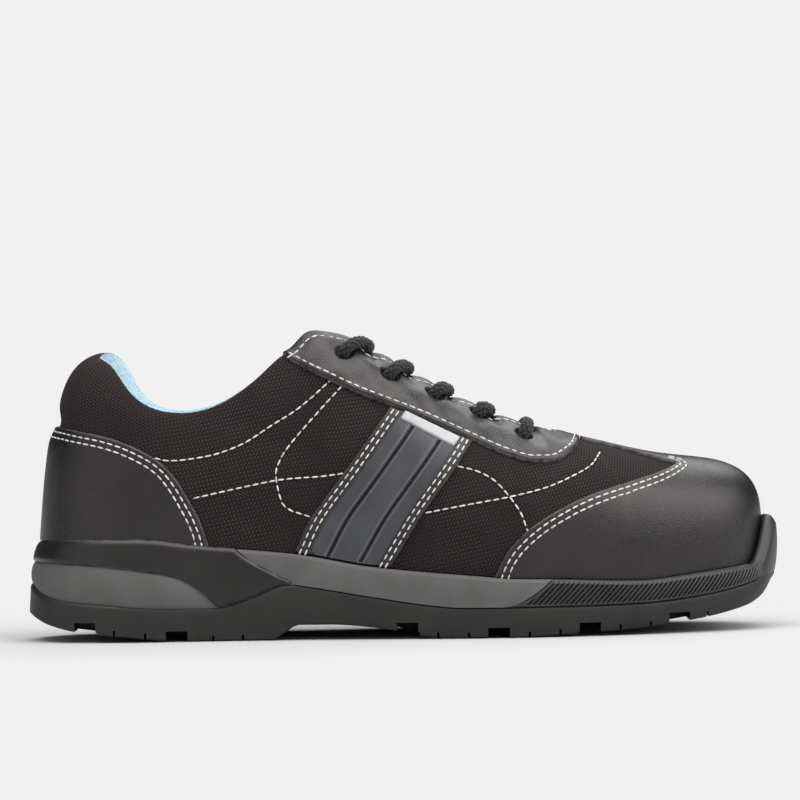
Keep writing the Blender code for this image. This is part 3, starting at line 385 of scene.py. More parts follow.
def line(points):
    """A smooth line through (percent along, percent up) points that never overshoots: x to z, in mm."""
    x = along([p[0] for p in points])
    z = up([p[1] for p in points])
    run = np.diff(x)
    slope = np.diff(z) / run
    before, after = slope[:-1], slope[1:]
    weight_b = 2 * run[1:] + run[:-1]
    weight_a = run[1:] + 2 * run[:-1]
    with np.errstate(divide="ignore", invalid="ignore"):
        mean = (weight_b + weight_a) / (weight_b / before + weight_a / after)
    inner = np.where(before * after > 0, mean, 0.0)
    tangent = np.concatenate([slope[:1], inner, slope[-1:]])

    def at(place):
        place = np.clip(np.asarray(place, float), x[0], x[-1])
        i = np.clip(np.searchsorted(x, place) - 1, 0, len(run) - 1)
        t = (place - x[i]) / run[i]
        rise = t * t * (3 - 2 * t)
        ends = run[i] * (t * (1 - t) ** 2 * tangent[i] - t * t * (1 - t) * tangent[i + 1])
        return z[i] + (z[i + 1] - z[i]) * rise + ends

    return at


def column(name):
    return [getattr(s, name) for s in SECTIONS]


def half_widths(name):
    return np.array(column(name)) / 100 * BALL_WIDTH


edge_x = ring(along(column("along")))
edge_y = ring(-half_widths("outer"), half_widths("inner"))
tuck = ring(column("tuck"))
inset = ring(column("inset"))
top_x = ring(along(column("top_along")))
ridge_y = ring(half_widths("ridge"))
half_gap = ring(-half_widths("gap"), half_widths("gap"))
top_z = ring(up(column("top")), up(column("top")) + column("lift"))
lean = ring(column("lean"))
power = ring(column("power"))
bulge = ring(column("bulge"))
finish = ring(np.radians(column("finish")))
pad = ring(column("pad"))
tread_z = line(TREAD_LINE)
parting_z = line(PARTING_LINE)
sole_z = line(SOLE_LINE)


def from_heel(u):
    """How far round from the heel on either side, up to LAST at the toe tip."""
    return LAST - np.abs(np.mod(np.asarray(u, float), TURN) - LAST)


def on_inner_side(u):
    return np.mod(u, TURN) > LAST


def outward(u):
    """Plan direction out of the sole's edge."""
    dx = edge_x(u + 0.01) - edge_x(u - 0.01)
    dy = edge_y(u + 0.01) - edge_y(u - 0.01)
    size = np.hypot(dx, dy)
    return dy / size, -dx / size


def sole_edge(u, inside):
    """Plan point that lies a distance inside the sole's edge."""
    nx, ny = outward(u)
    return edge_x(u) - inside * nx, edge_y(u) - inside * ny


def seat_z(u):
    return sole_z(edge_x(u))


def wall_top_z(u):
    """Top of the sole's side: the sole line, and the bumper that climbs over the toe."""
    return seat_z(u) + BUMPER_RISE * ramp(from_heel(u), *BUMPER_SPAN)


def outsole_top_z(u):
    """Top of the outsole's side wall: the parting line, then up to the wall's top at the forefoot."""
    start, end = along(RIM_SWEEP)
    sweep = np.clip((edge_x(u) - start) / (end - start), 0.0, 1.0) ** RIM_SWEEP_CURVE
    parting = parting_z(edge_x(u))
    return parting + (wall_top_z(u) - parting) * sweep


def side_inset(u, z):
    """How far the sole's side lies inside its widest edge at a height."""
    foot = tread_z(edge_x(u))
    share = np.clip((z - foot) / (wall_top_z(u) - foot), 0.0, 1.0)
    narrowing = np.where(tuck(u) > 0, (1 - share) ** TUCK_CURVE, 1 - share)
    shoulder = SHOULDER + HEEL_SHOULDER * ramp(from_heel(u), HEEL_REACH, 0.0)
    return tuck(u) * narrowing + shoulder * share**SHOULDER_CURVE


def rim_inset(u):
    """Inside face of the outsole's forefoot wall, clear of the toe cap."""
    return np.maximum(inset(u) - LEATHER - GAP, RIM)


def midsole_inset(u, z):
    """The midsole's side, which stands back round the heel for the stabiliser."""
    start, end = along(STABILISER_RECESS_ENDS)
    return side_inset(u, z) + RECESS * ramp(edge_x(u), end, start)


def top_y(u):
    """Across the shoe: the rim's two sides, rounded together at the throat's front end, then the ridge."""
    from_end = CLOSED - from_heel(u)
    side = np.where(on_inner_side(u), TURN - CLOSED + 1, CLOSED - 1)
    opening = np.where(from_end < 1, half_gap(side) * quarter_round(from_end), half_gap(u))
    return ridge_y(u) + opening


def rim_z(u):
    """Height of the rim or ridge, with the facing's rear corner drawn sharper than the sections give it."""
    x = top_x(u)
    return top_z(u) + sum(rise * hump(x - along(place), RIM_CORNER_WIDTH) for place, rise in RIM_CORNER)


def wall_columns(u):
    """The upper's outer wall at each place round the ring, from its foot to its rim or ridge."""
    u = u[:, None]
    nx, ny = outward(u)
    foot_x, foot_y = sole_edge(u, inset(u))
    foot_z = seat_z(u) + GAP
    stop, square = finish(u), power(u)
    angle = stop * np.linspace(0, 1, SAMPLES) ** (square / 2)
    across = (1 - np.cos(angle)) / (1 - np.cos(stop))
    climb = (np.sin(angle) / np.sin(stop)) ** (2 / square)
    share = lean(u) * climb + (1 - lean(u)) * across
    waist = WAIST * ramp(from_heel(u), WAIST_REACH, 0.0)
    swell = bulge(u) * np.sin(np.pi * climb) - waist * hump(climb - WAIST_CLIMB, WAIST_SPREAD)
    x = foot_x + (top_x(u) - foot_x) * share + nx * swell
    y = foot_y + (top_y(u) - foot_y) * share + ny * swell
    z = foot_z + (rim_z(u) - foot_z) * climb
    return np.stack([x, y, z], axis=2)


def climb_shares(columns):
    """Share of the way up each wall at each of its samples, counting both length and turning."""
    steps = np.diff(columns, axis=1)
    length = np.linalg.norm(steps, axis=2)
    heading = steps / length[:, :, None]
    turn = np.arccos(np.clip((heading[:, 1:] * heading[:, :-1]).sum(axis=2), -1.0, 1.0))
    blank = np.zeros((len(columns), 1))
    bend = np.concatenate([blank, turn], axis=1) + np.concatenate([turn, blank], axis=1)
    total = np.cumsum(length + TURN_WEIGHT * bend / 2, axis=1)
    total = np.concatenate([blank, total], axis=1)
    return total / total[:, -1:]


def wall_nets():
    """Fine nets of the upper's outer wall: points, normals, the wall laid flat, and the length climbed."""
    u = np.arange(NET_ROUND) * TURN / NET_ROUND
    columns = wall_columns(u)
    points = np.array([read_path(NET_SHARES, s, c) for s, c in zip(climb_shares(columns), columns)])
    around = np.roll(points, -1, axis=0) - np.roll(points, 1, axis=0)
    normals = unit(np.cross(around, np.gradient(points, axis=1)))
    opposite = -np.arange(NET_ROUND) % NET_ROUND
    ridge = from_heel(u) >= CLOSED
    normals[ridge, -1] = unit(normals[:, -2] + normals[opposite, -2])[ridge]
    climbed = np.array([run_along(column) for column in points])
    head, foot = points[:, -1, :2], points[:, 0, :2]
    drop = (climbed[:, -1:] - climbed)[..., None]
    flat = head[:, None] + unit(foot - head)[:, None] * drop
    return points, normals, flat, climbed[..., None]


def look_up(net, u, v):
    """Reads a net at places round the shoe and shares of the way up its wall."""
    u, v = np.broadcast_arrays(np.asarray(u, float), np.asarray(v, float))
    a = np.mod(u, TURN) * NET_ROUND / TURN
    b = np.clip(v, 0, 1) * (NET_UP - 1)
    i = np.floor(a).astype(int)
    j = np.minimum(b.astype(int), NET_UP - 2)
    s = (a - i)[..., None]
    t = (b - j)[..., None]
    i = i % NET_ROUND
    after = (i + 1) % NET_ROUND
    low = net[i, j] * (1 - s) + net[after, j] * s
    high = net[i, j + 1] * (1 - s) + net[after, j + 1] * s
    return low * (1 - t) + high * t


WALL_POINTS, WALL_NORMALS, WALL_FLAT, WALL_CLIMB = wall_nets()


def where(function, target, start, end):
    """The place between start and end where a rising function reaches a target."""
    places = np.linspace(start, end, 801)
    return float(np.interp(target, function(places), places))


# Places round the ring where each lace goes over the throat's edge, on the outer side
CROSSINGS = [where(top_x, along(hole.along + hole.ahead), 4.0, CLOSED) for hole in LACE_HOLES]


def collar_share(u):
    """Share of the collar's full padding at each place round the ring."""
    return np.clip(pad(u) / max(column("pad")), 0.0, 1.0)


def pressed(u, v):
    """How far the wall is pressed in: by the laces at the throat's edge, and where the collar rolls over."""
    dent = sum(hump(from_heel(u) - crossing, LACE_PRESS_WIDTH) for crossing in CROSSINGS)
    roll = 1 - quarter_round((1 - v) / (1 - COLLAR_ROLL_START))
    return LACE_PRESS * dent * ramp(v, *LACE_PRESS_CLIMB) + COLLAR_ROLL * collar_share(u) * roll


def off_wall(u, v, distance):
    """Points that stand off the upper's outside by a distance, inwards if it is negative."""
    skin = look_up(WALL_POINTS, u, v)
    out = np.asarray(distance, float) - pressed(u, v)
    points = skin + look_up(WALL_NORMALS, u, v) * out[..., None]
    points[..., 2] = np.where(np.asarray(v) <= 0, skin[..., 2], points[..., 2])
    return points


def wall_thickness(u, v):
    """Lined wall, with the collar's padding that swells below the rim and rounds off at it."""
    start, full = PADDING_CLIMB
    collar = collar_share(u)
    thick = WALL + np.maximum(pad(u), 0.0) * ramp(v, start, full)
    return thick * (1 - collar + collar * quarter_round((1 - v) / (1 - full)))


def height_on_wall(u, edge):
    """Share of the way up each wall where it first rises through a side line, 1 where it never does."""
    points = look_up(WALL_POINTS, np.asarray(u, float)[:, None], NET_SHARES)
    over = points[..., 2] - edge(points[..., 0])
    above = over > 0
    first = np.argmax(above, axis=1)
    i = np.maximum(first, 1)
    rows = np.arange(len(i))
    low, high = over[rows, i - 1], over[rows, i]
    found = (i - 1 + low / (low - high)) / (NET_UP - 1)
    found = np.where(first == 0, 0.0, found)
    return np.where(above.any(axis=1), found, 1.0)


def strip_on_wall(u):
    """Share of the way up each wall where the edge of the strip over the ridge crosses it."""
    u = np.asarray(u, float)
    rear, front = STRIP_HALF_WIDTHS
    half_width = rear + (front - rear) * ramp(from_heel(u), *STRIP_SPAN)
    away = np.abs(look_up(WALL_POINTS, u[:, None], NET_SHARES)[..., 1] - ridge_y(u)[:, None])
    return np.array([np.interp(-w, -a, NET_SHARES) for w, a in zip(half_width, away)])


def locate(percents, inner_side=False):
    """Places (u, v) on one side of the upper for (percent along, percent up) points of the side view."""
    tries = np.linspace(SIDE_START, LAST - SIDE_START, 231)
    tries = TURN - tries if inner_side else tries
    columns = look_up(WALL_POINTS, tries[:, None], NET_SHARES)
    found = []
    for x, z in zip(along([p[0] for p in percents]), up([p[1] for p in percents])):
        at_z = [np.interp(z, c[:, 2], c[:, 0]) for c in columns]
        u = np.interp(x, at_z, tries)
        own = look_up(WALL_POINTS, u, NET_SHARES)
        found.append((u, np.interp(z, own[:, 2], NET_SHARES)))
    return np.array(found)


def resample(path, spacing):
    """The same path with points at even distances."""
    path = np.asarray(path, float)
    run = run_along(path)
    count = max(2, int(round(run[-1] / spacing)) + 1)
    return read_path(np.linspace(0, run[-1], count), run, path)


def spline(knots, spacing):
    """A smooth curve through a few points, with points at even distances."""
    knots = np.asarray(knots, float)
    padded = np.concatenate([[2 * knots[0] - knots[1]], knots, [2 * knots[-1] - knots[-2]]])
    t = np.linspace(0, 1, 24, endpoint=False)[:, None]
    parts = []
    for a, b, c, d in zip(padded, padded[1:], padded[2:], padded[3:]):
        square = 2 * a - 5 * b + 4 * c - d
        cube = 3 * b - a - 3 * c + d
        parts.append(0.5 * (2 * b + (c - a) * t + square * t**2 + cube * t**3))
    return resample(np.concatenate([*parts, knots[-1:]]), spacing)


def round_off(path, reach):
    """Rounds the corners of an open path, keeping its ends."""
    path = resample(path, ROUND_STEP)
    wide = int(3 * reach / ROUND_STEP)
    weights = np.exp(-0.5 * (np.arange(-wide, wide + 1) * ROUND_STEP / reach) ** 2)
    weights /= weights.sum()
    before = 2 * path[0] - path[wide:0:-1]
    after = 2 * path[-1] - path[-2:-wide - 2:-1]
    long = np.concatenate([before, path, after])
    return np.stack([np.convolve(long[:, k], weights, "valid") for k in range(path.shape[1])], axis=1)


def beside_path(path, distance, skin):
    """A path on the flat pattern at a true distance to the left of another, to its right if negative."""
    path = resample(path, BESIDE_STEP)
    side = np.sign(distance) * left_of(unit(np.gradient(path, axis=0)))
    reach = np.linspace(0, 3 * abs(distance), BESIDE_TRIES)
    tries = (path[:, None] + side[:, None] * reach[:, None]).reshape(-1, 2)
    edge, solid = (skin.points(skin.places(p), 0.0) for p in (path, tries))
    away, _ = nearest(solid, edge)
    away = np.maximum.accumulate(away.reshape(len(path), -1), axis=1)
    needed = np.array([np.interp(abs(distance), a, reach) for a in away])
    window = np.full(BESIDE_WINDOW, 1 / BESIDE_WINDOW)
    level = np.convolve(np.pad(needed, BESIDE_WINDOW // 2, mode="edge"), window, "valid")
    return path + side * level[:, None]


def enclosed(points, loops):
    """Which points lie inside a set of closed loops."""
    inside = np.zeros(len(points), bool)
    x, y = points[:, 0], points[:, 1]
    for loop in loops:
        for (x1, y1), (x2, y2) in zip(loop, np.roll(loop, -1, axis=0)):
            if y1 != y2:
                inside ^= ((y1 > y) != (y2 > y)) & (x < (x2 - x1) * (y - y1) / (y2 - y1) + x1)
    return inside


def nearest(points, samples):
    """Distance from each point to the nearest sample, and which sample that is."""
    tree = KDTree(len(samples))
    for n, sample in enumerate(samples):
        tree.insert(sample, n)
    tree.balance()
    found = [tree.find(p) for p in points]
    return np.array([f[2] for f in found]), np.array([f[1] for f in found])


def flat_away(points, samples):
    """Distance on a flat pattern from each point to the nearest sample."""
    return nearest(*(np.pad(flat, ((0, 0), (0, 1))) for flat in (points, samples)))[0]


def wall_plan(u, v):
    """The upper laid flat as if it were pressed down on a table from above, in mm."""
    return look_up(WALL_FLAT, u, v)


def wall_uv(u, v):
    """The upper laid flat as length round the shoe and length up its wall, in mm."""
    middle = WALL_POINTS[:, int(GIRTH_SHARE * NET_UP)]
    places = np.arange(NET_ROUND + 1) * TURN / NET_ROUND
    around = np.interp(u, places, run_along(np.concatenate([middle, middle[:1]])))
    climbed = look_up(WALL_CLIMB, u, v)[..., 0]
    return np.stack([around + 0 * climbed, climbed], axis=-1)


class UpperSkin:
    """The upper's outside as a surface for panels, with a flat pattern in mm."""

    def __init__(self, pattern):
        u = np.linspace(0, TURN, 481)
        v = np.linspace(0, 1, 61)
        self.pattern = pattern
        self.uv = np.stack(np.meshgrid(u, v, indexing="ij"), axis=2).reshape(-1, 2)
        self.flat = pattern(u[:, None], v).reshape(-1, 2)
        index = np.arange(len(self.uv)).reshape(len(u), len(v))
        a, b, c, d = (corner.ravel() for corner in cell_corners(index))
        self.corners = np.concatenate([np.stack([a, b, c], axis=1), np.stack([a, c, d], axis=1)])
        spread = [(x, y, 0.0) for x, y in self.flat.tolist()]
        self.tree = BVHTree.FromPolygons(spread, self.corners.tolist())

    def lay(self, uv):
        return self.pattern(uv[:, 0], uv[:, 1])

    def places(self, flat):
        hits = [self.tree.find_nearest((x, y, 0.0)) for x, y in flat.tolist()]
        corner = self.corners[[h[2] for h in hits]]
        p = np.array([h[0][:2] for h in hits])
        a, b, c = (self.flat[corner[:, k]] for k in range(3))
        ab, ac, ap = b - a, c - a, p - a
        area = ab[:, 0] * ac[:, 1] - ab[:, 1] * ac[:, 0]
        area = np.where(np.abs(area) < 1e-12, 1e-12, area)
        s = ((ap[:, 0] * ac[:, 1] - ap[:, 1] * ac[:, 0]) / area)[:, None]
        t = ((ab[:, 0] * ap[:, 1] - ab[:, 1] * ap[:, 0]) / area)[:, None]
        uv = self.uv[corner[:, 0]] * (1 - s - t) + self.uv[corner[:, 1]] * s + self.uv[corner[:, 2]] * t
        v = uv[:, 1]
        uv[:, 1] = np.where(v < EDGE_SNAP, 0.0, np.where(v > 1 - EDGE_SNAP, 1.0, v))
        return uv

    def points(self, uv, distance):
        return off_wall(uv[:, 0], uv[:, 1], distance)

    def normals(self, uv):
        return look_up(WALL_NORMALS, uv[:, 0], uv[:, 1])


class HeelSide:
    """The midsole's side round the heel, laid flat as length round it and height."""

    def __init__(self):
        self.u = np.linspace(-6.0, 6.0, 1201)
        self.run = run_along(np.stack([edge_x(self.u), edge_y(self.u)], axis=1))

    def lay(self, uz):
        return np.stack([np.interp(uz[:, 0], self.u, self.run), uz[:, 1]], axis=1)

    def places(self, flat):
        return np.stack([np.interp(flat[:, 0], self.run, self.u), flat[:, 1]], axis=1)

    def points(self, uz, distance):
        u, z = uz[:, 0], uz[:, 1]
        x, y = sole_edge(u, midsole_inset(u, z) - distance)
        return np.stack([x, y, z], axis=1)


SKIN = UpperSkin(wall_plan)  # for pieces that reach over the toe or round the heel
SIDE = UpperSkin(wall_uv)  # for pieces on one side
HEEL = HeelSide()


class Row:
    """One row of stitches: its points on a surface, the way they face, and the length run so far."""

    def __init__(self, flat, lift, skin):
        places = skin.places(resample(flat, OUTLINE_STEP))
        self.points = skin.points(places, lift)
        self.facing = skin.normals(places)
        self.run = run_along(self.points)


class Net:
    """Blocks of points in mm joined by faces, and welded into one mesh object in metres."""

    def __init__(self):
        self.points = []
        self.uvs = []
        self.faces = []
        self.count = 0

    def add(self, block, uv=None):
        """Adds a block of points, with faces between its rows and columns."""
        index = self.count + np.arange(block.shape[0] * block.shape[1]).reshape(block.shape[:2])
        self.points.append(block.reshape(-1, 3))
        self.uvs.append(np.zeros((index.size, 2)) if uv is None else uv.reshape(-1, 2))
        self.count += index.size
        self.join(*cell_corners(index))
        return index

    def join(self, *corners):
        self.faces += np.stack([np.ravel(c) for c in corners], axis=1).tolist()

    def strip(self, one, other):
        self.join(one[:-1], one[1:], other[1:], other[:-1])

    def ladder(self, loop):
        """Closes a loop of points by rungs from the outer side to the inner side."""
        half = len(loop) // 2
        i = np.arange(1, half - 1)
        self.join(loop[i], loop[i + 1], loop[-i - 1], loop[-i])
        self.faces.append([int(loop[0]), int(loop[1]), int(loop[-1])])
        self.faces.append([int(loop[half - 1]), int(loop[half]), int(loop[half + 1])])

    def finish(self, name, material, sharp=None):
        points = np.concatenate(self.points)
        uvs = np.concatenate(self.uvs)
        mesh = bpy.data.meshes.new(name)
        mesh.from_pydata((points * MM).tolist(), [], self.faces)
        corners = np.zeros(len(mesh.loops), int)
        mesh.loops.foreach_get("vertex_index", corners)
        layer = mesh.uv_layers.new(name="surface_mm")
        layer.data.foreach_set("uv", uvs[corners].ravel())
        weld(mesh)
        mesh.shade_smooth()
        if sharp:
            mesh.set_sharp_from_angle(angle=math.radians(sharp))
        return add_piece(name, mesh, material)


def weld(mesh):
    bm = bmesh.new()
    bm.from_mesh(mesh)
    bmesh.ops.remove_doubles(bm, verts=bm.verts, dist=0.01 * MM)
    bmesh.ops.dissolve_degenerate(bm, edges=bm.edges, dist=0.002 * MM)
    bmesh.ops.recalc_face_normals(bm, faces=bm.faces)
    bm.to_mesh(mesh)
    bm.free()


def add_piece(name, mesh, material):
    obj = bpy.data.objects.new(name, mesh)
    obj.data.materials.append(material)
    bpy.context.scene.collection.objects.link(obj)
    return obj


def settle(obj, slot, *nodes):
    """Fixes a finished piece to the shoe's one body."""
    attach(obj, "root")
    if nodes:
        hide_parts(*nodes)


class Value:
    """A node's socket that carries a number. Arithmetic on it adds Math nodes."""

    def __init__(self, kit, socket):
        self.kit = kit
        self.socket = socket

    def calc(self, operation, *numbers):
        return self.kit.node("Math", {"operation": operation}, dict(enumerate(numbers)))

    def __add__(self, other):
        return self.calc("ADD", self, other)

    def __radd__(self, other):
        return self.calc("ADD", other, self)

    def __sub__(self, other):
        return self.calc("SUBTRACT", self, other)

    def __rsub__(self, other):
        return self.calc("SUBTRACT", other, self)

    def __mul__(self, other):
        return self.calc("MULTIPLY", self, other)

    def __rmul__(self, other):
        return self.calc("MULTIPLY", other, self)

    def floor(self):
        return self.calc("FLOOR", self)

    def limit(self, low, high):
        return self.calc("MINIMUM", self.calc("MAXIMUM", self, low), high)

    def step(self, start, end):
        """0 before start, 1 after end, smooth between."""
        spans = {"From Min": start, "From Max": end, "Value": self}
        return self.kit.node("MapRange", {"interpolation_type": "SMOOTHSTEP"}, spans)


class Kit:
    """Adds nodes to one tree."""

    def __init__(self, tree):
        self.tree = tree

    def feed(self, socket, value):
        """Links a value to a socket, or sets a fixed number or a colour given as red, green, blue."""
        if isinstance(value, Value):
            self.tree.links.new(value.socket, socket)
        elif socket.type == "RGBA":
            socket.default_value = (*value, 1.0)
        else:
            socket.default_value = value

    def make(self, kind, settings=None, sockets=None):
        made = self.tree.nodes.new(kind)
        for name, value in (settings or {}).items():
            setattr(made, name, value)
        for key, value in (sockets or {}).items():
            self.feed(made.inputs[key], value)
        return made

    def node(self, kind, settings=None, sockets=None, output=0):
        """Adds a shader node, and gives what comes out of it."""
        made = self.make("ShaderNode" + kind, settings, sockets)
        return Value(self, made.outputs[output]) if made.outputs else None

    def mix(self, share, first, second):
        """Blend of two colours."""
        sockets = {0: share, 6: first, 7: second}
        return self.node("Mix", {"data_type": "RGBA"}, sockets, output=2)


class Finish(Kit):
    """One material: a Principled shader, what feeds it, and patterns on the object's own coordinates."""

    def __init__(self, name, **fixed):
        self.material = bpy.data.materials.new(name)
        self.material.use_nodes = True
        super().__init__(self.material.node_tree)
        self.shader = self.tree.nodes["Principled BSDF"]
        self.place = self.node("TexCoord", output="Object")
        self.give(**fixed)

    def give(self, **sockets):
        for name, value in sockets.items():
            self.feed(self.shader.inputs[name.replace("_", " ")], value)

    def noise(self, size, detail=2.0, roughness=0.5):
        """Noise whose lumps are about a size in mm."""
        sockets = {"Vector": self.place, "Scale": 1 / (size * MM), "Detail": detail, "Roughness": roughness}
        return self.node("TexNoise", sockets=sockets)

    def cells(self, size, feature="DISTANCE_TO_EDGE"):
        """Cells about a size in mm."""
        sockets = {"Vector": self.place, "Scale": 1 / (size * MM)}
        return self.node("TexVoronoi", {"feature": feature}, sockets)

    def mark(self, name):
        """A number that each point of a panel carries."""
        return self.node("Attribute", {"attribute_name": name}, output="Fac")

    def relief(self, height, depth):
        """Bump of a depth in mm for a height from 0 to 1."""
        self.give(Normal=self.node("Bump", sockets={"Height": height, "Distance": depth * MM}))


def textile_finish():
    """Coarse plain weave of brown-black yarn, with painted shade in the gaps between the yarns."""
    f = Finish("textile", Roughness=0.8, Specular_IOR_Level=0.2)
    flat = f.node("UVMap", {"uv_map": "surface_mm"})
    turned = {"Vector": flat, "Rotation": (0.0, 0.0, 0.5), "Scale": (0.92, 0.92, 1.0)}
    split = f.make("ShaderNodeSeparateXYZ", sockets={0: f.node("Mapping", sockets=turned)})
    x, y, _ = (Value(f, socket) for socket in split.outputs)
    wobble = f.noise(6.0) - 0.5
    x = x + 0.35 * wobble
    y = y - 0.35 * wobble
    across = x - x.floor() - 0.5
    length = y - y.floor() - 0.5
    count = x.floor() + y.floor()
    over = count.calc("FLOORED_MODULO", count, 2.0)
    warp = (1 - 3.6 * across * across) * (1 - 2.0 * length * length)
    weft = (1 - 3.6 * length * length) * (1 - 2.0 * across * across)
    height = weft + (warp - weft) * over
    yarn = f.mix(over, (0.0235, 0.0155, 0.0158), (0.050, 0.0355, 0.0360))
    yarn = f.mix(f.noise(25.0, 3.0).step(0.35, 0.7) * 0.6, yarn, (0.022, 0.0150, 0.0153))
    # painted shade: the yarn colour darkens towards the low parts of the weave, where the gaps between yarns
    # lie
    f.give(Base_Color=f.mix(height.step(0.1, 0.95), (0.003, 0.0022, 0.0022), yarn))
    f.relief(height, 0.35)
    return f.material


def mesh_finish(name, roughness, cell, rim, lump, colours, depth):
    """Light blue knit with small round openings: colours of the openings, darker as painted shade in the
    holes, and of the cloth, dark and light.
    """
    f = Finish(name, Roughness=roughness, Sheen_Weight=0.3)
    cloth_part = f.cells(cell, "F1").step(*rim)
    opening, dark, light = colours
    # painted shade: the openings get a darker colour than the cloth around them
    f.give(Base_Color=f.mix(cloth_part, opening, f.mix(f.noise(lump, 3.0), dark, light)))
    f.relief(cloth_part, depth)
    return f.material


def leather_finish(name, dark, light, gloss):
    """Smooth leather: fine grain, a soft random mottle of tone, and a paler line along the cut edges that is a
    painted highlight.
    """
    f = Finish(name, Specular_IOR_Level=0.55, Specular_Tint=(1.0, 0.955, 0.94))
    grain = f.cells(1.0).limit(0.0, 0.25) * 4.0
    fine = f.noise(0.8, 4.0, 0.65)
    soft = f.noise(16.0, 3.0)
    cut = 1 - f.mark("edge").step(0.15, 0.75)
    body = f.mix(soft.step(0.3, 0.7), dark, light)
    # painted highlight: a paler, patchy line along the cut edges
    painted_cut_edge_highlight = cut * f.noise(2.5).step(0.25, 0.6)
    f.give(Base_Color=f.mix(painted_cut_edge_highlight * 0.8, body, (0.10, 0.094, 0.09)))
    f.give(Roughness=gloss + 0.16 * (fine - 0.5) + 0.16 * (soft - 0.5) + 0.2 * cut)
    f.relief(0.45 * grain + fine, 0.085)
    return f.material


def band_finish():
    """Blue-grey coated fabric of the side bands, with a painted highlight on the welts and painted shade in
    the grooves.
    """
    f = Finish("band_panel")
    fine = f.noise(0.35, 3.0)
    raised = f.mark("raised")
    body = f.mix(f.noise(14.0).step(0.3, 0.7), (0.036, 0.0375, 0.0435), (0.054, 0.0565, 0.0645))
    # painted highlight: paler colour on the raised welts beside each groove
    painted_welt_highlight = f.mix(raised.step(0.12, 0.4) * 0.6, body, (0.125, 0.130, 0.140))
    # painted shade: darker colour down in the grooves
    f.give(Base_Color=f.mix((0 - raised).step(0.15, 0.7) * 0.75, painted_welt_highlight, (0.011, 0.011, 0.013)))
    f.give(Roughness=0.34 + 0.16 * fine)
    f.relief(fine, 0.05)
    return f.material


def tag_finish():
    """White reflective tape with tiny glass beads."""
    f = Finish("tag", Specular_IOR_Level=0.6)
    beads = f.cells(0.5).limit(0.0, 0.2) * 5.0
    soil = f.noise(4.0, 3.0)
    f.give(Base_Color=f.mix(soil.step(0.45, 0.8), (0.48, 0.48, 0.49), (0.37, 0.37, 0.39)))
    f.give(Roughness=0.32 + 0.2 * soil)
    f.relief(beads, 0.05)
    return f.material


def rubber_finish(name, dark, light, gloss, bump, edge_highlight_strength=0.0):
    """Moulded sole material: a faint mottle, a fine matt skin, and paler patches along the edges that are a
    painted highlight.
    """
    f = Finish(name, Specular_Tint=(1.0, 0.98, 0.95))
    fine = f.noise(0.5, 4.0)
    soft = f.noise(12.0, 3.0)
    body = f.mix(soft.step(0.25, 0.75), dark, light)
    if edge_highlight_strength:
        # painted highlight: paler patches along the piece's cut edges
        cut = 1 - f.mark("edge").step(0.2, 0.9)
        body = f.mix(cut * f.noise(7.0, 3.0).step(0.35, 0.65) * edge_highlight_strength, body, (0.15, 0.145, 0.14))
    f.give(Base_Color=body)
    f.give(Roughness=gloss + 0.15 * fine + 0.12 * soft)
    f.relief(fine + 0.6 * f.cells(1.1) + 5.0 * f.noise(9.0), bump)
    return f.material


def lace_finish():
    """Black braided polyester."""
    f = Finish("lace", Roughness=0.75, Sheen_Weight=0.25, Sheen_Roughness=0.4)
    fibre = f.noise(0.35, 3.0)
    f.give(Base_Color=f.mix(fibre.step(0.35, 0.7), (0.006, 0.0058, 0.0053), (0.022, 0.0200, 0.0185)))
    f.relief(fibre, 0.2)
    return f.material


def thread_finish():
    """White sewing thread, a little soiled."""
    f = Finish("thread", Roughness=0.6)
    soil = f.noise(3.0, 3.0).step(0.4, 0.75)
    f.give(Base_Color=f.mix(soil, (0.70, 0.69, 0.67), (0.42, 0.41, 0.395)))
    f.relief(f.noise(0.3), 0.1)
    return f.material


def textile_rows():
    """The single rows of stitches on the textile, both sides."""
    rows = []
    for inner_side in (False, True):
        for knots in QUARTER_ROWS:
            places = locate(spline(knots, QUARTER_STEP), inner_side)
            rows.append(Row(SIDE.lay(places), QUARTER_LIFT, SIDE))
    return rows


def fold_depth(points):
    """Soft troughs and swells of the textile at each point."""
    flat = points[..., [0, 2]]
    total = np.zeros(points.shape[:-1])
    for fold in FOLDS:
        start, end = (np.array([float(along(x)), float(up(z))]) for x, z in (fold.start, fold.end))
        way = end - start
        share = ((flat - start) @ way) / (way @ way)
        foot = start + np.clip(share, 0, 1)[..., None] * way
        total += fold.depth * hump(np.linalg.norm(flat - foot, axis=-1), fold.width)
    return total


def lining_rise(u):
    """Rise of the lining over the rim of the collar."""
    place = from_heel(u)
    roll = LINING_ROLL * on_inner_side(u) * hump(place - LINING_ROLL_PLACE, LINING_ROLL_WIDTH)
    return LINING_CREST + LINING_SIDES * ramp(place, *LINING_SIDES_SPAN) + roll


def make_upper(material, lining, rows):
    """Textile shell and the lining inside it, open at the collar, the throat and underneath."""
    u = np.linspace(0, TURN, 681)[:, None]
    v = np.linspace(0, 1, 101)
    skin = look_up(WALL_POINTS, u, v)
    away, _ = nearest(skin.reshape(-1, 3), np.concatenate([row.points for row in rows]))
    pull = STITCH_SINK * hump(away, CLOTH_PULL_WIDTH).reshape(skin.shape[:2])
    outside = off_wall(u, v, -pull - fold_depth(skin))
    back_v = np.linspace(0, 1, 15)
    depth = CLOTH + STITCH_SINK
    inside = off_wall(u, back_v, -np.minimum(depth, CLOTH_SHARE * wall_thickness(u, back_v)))
    closed_shell("upper_textile", material, u, (v, outside), (back_v, inside))

    u = np.linspace(0, TURN, 481)[:, None]
    v = np.linspace(0, 1, 41)
    thick = wall_thickness(u, v)
    crest = ramp(v, LINING_CREST_START, 1.0) * collar_share(u)
    faces = []
    for deep in (np.minimum(depth + LINING_CLEAR, LINING_SHARE * thick), thick):
        face = off_wall(u, v, -deep - LINING_SETBACK * crest)
        face[..., 2] += lining_rise(u) * crest
        faces.append((v, face))
    closed_shell("collar_lining", lining, u, *faces)


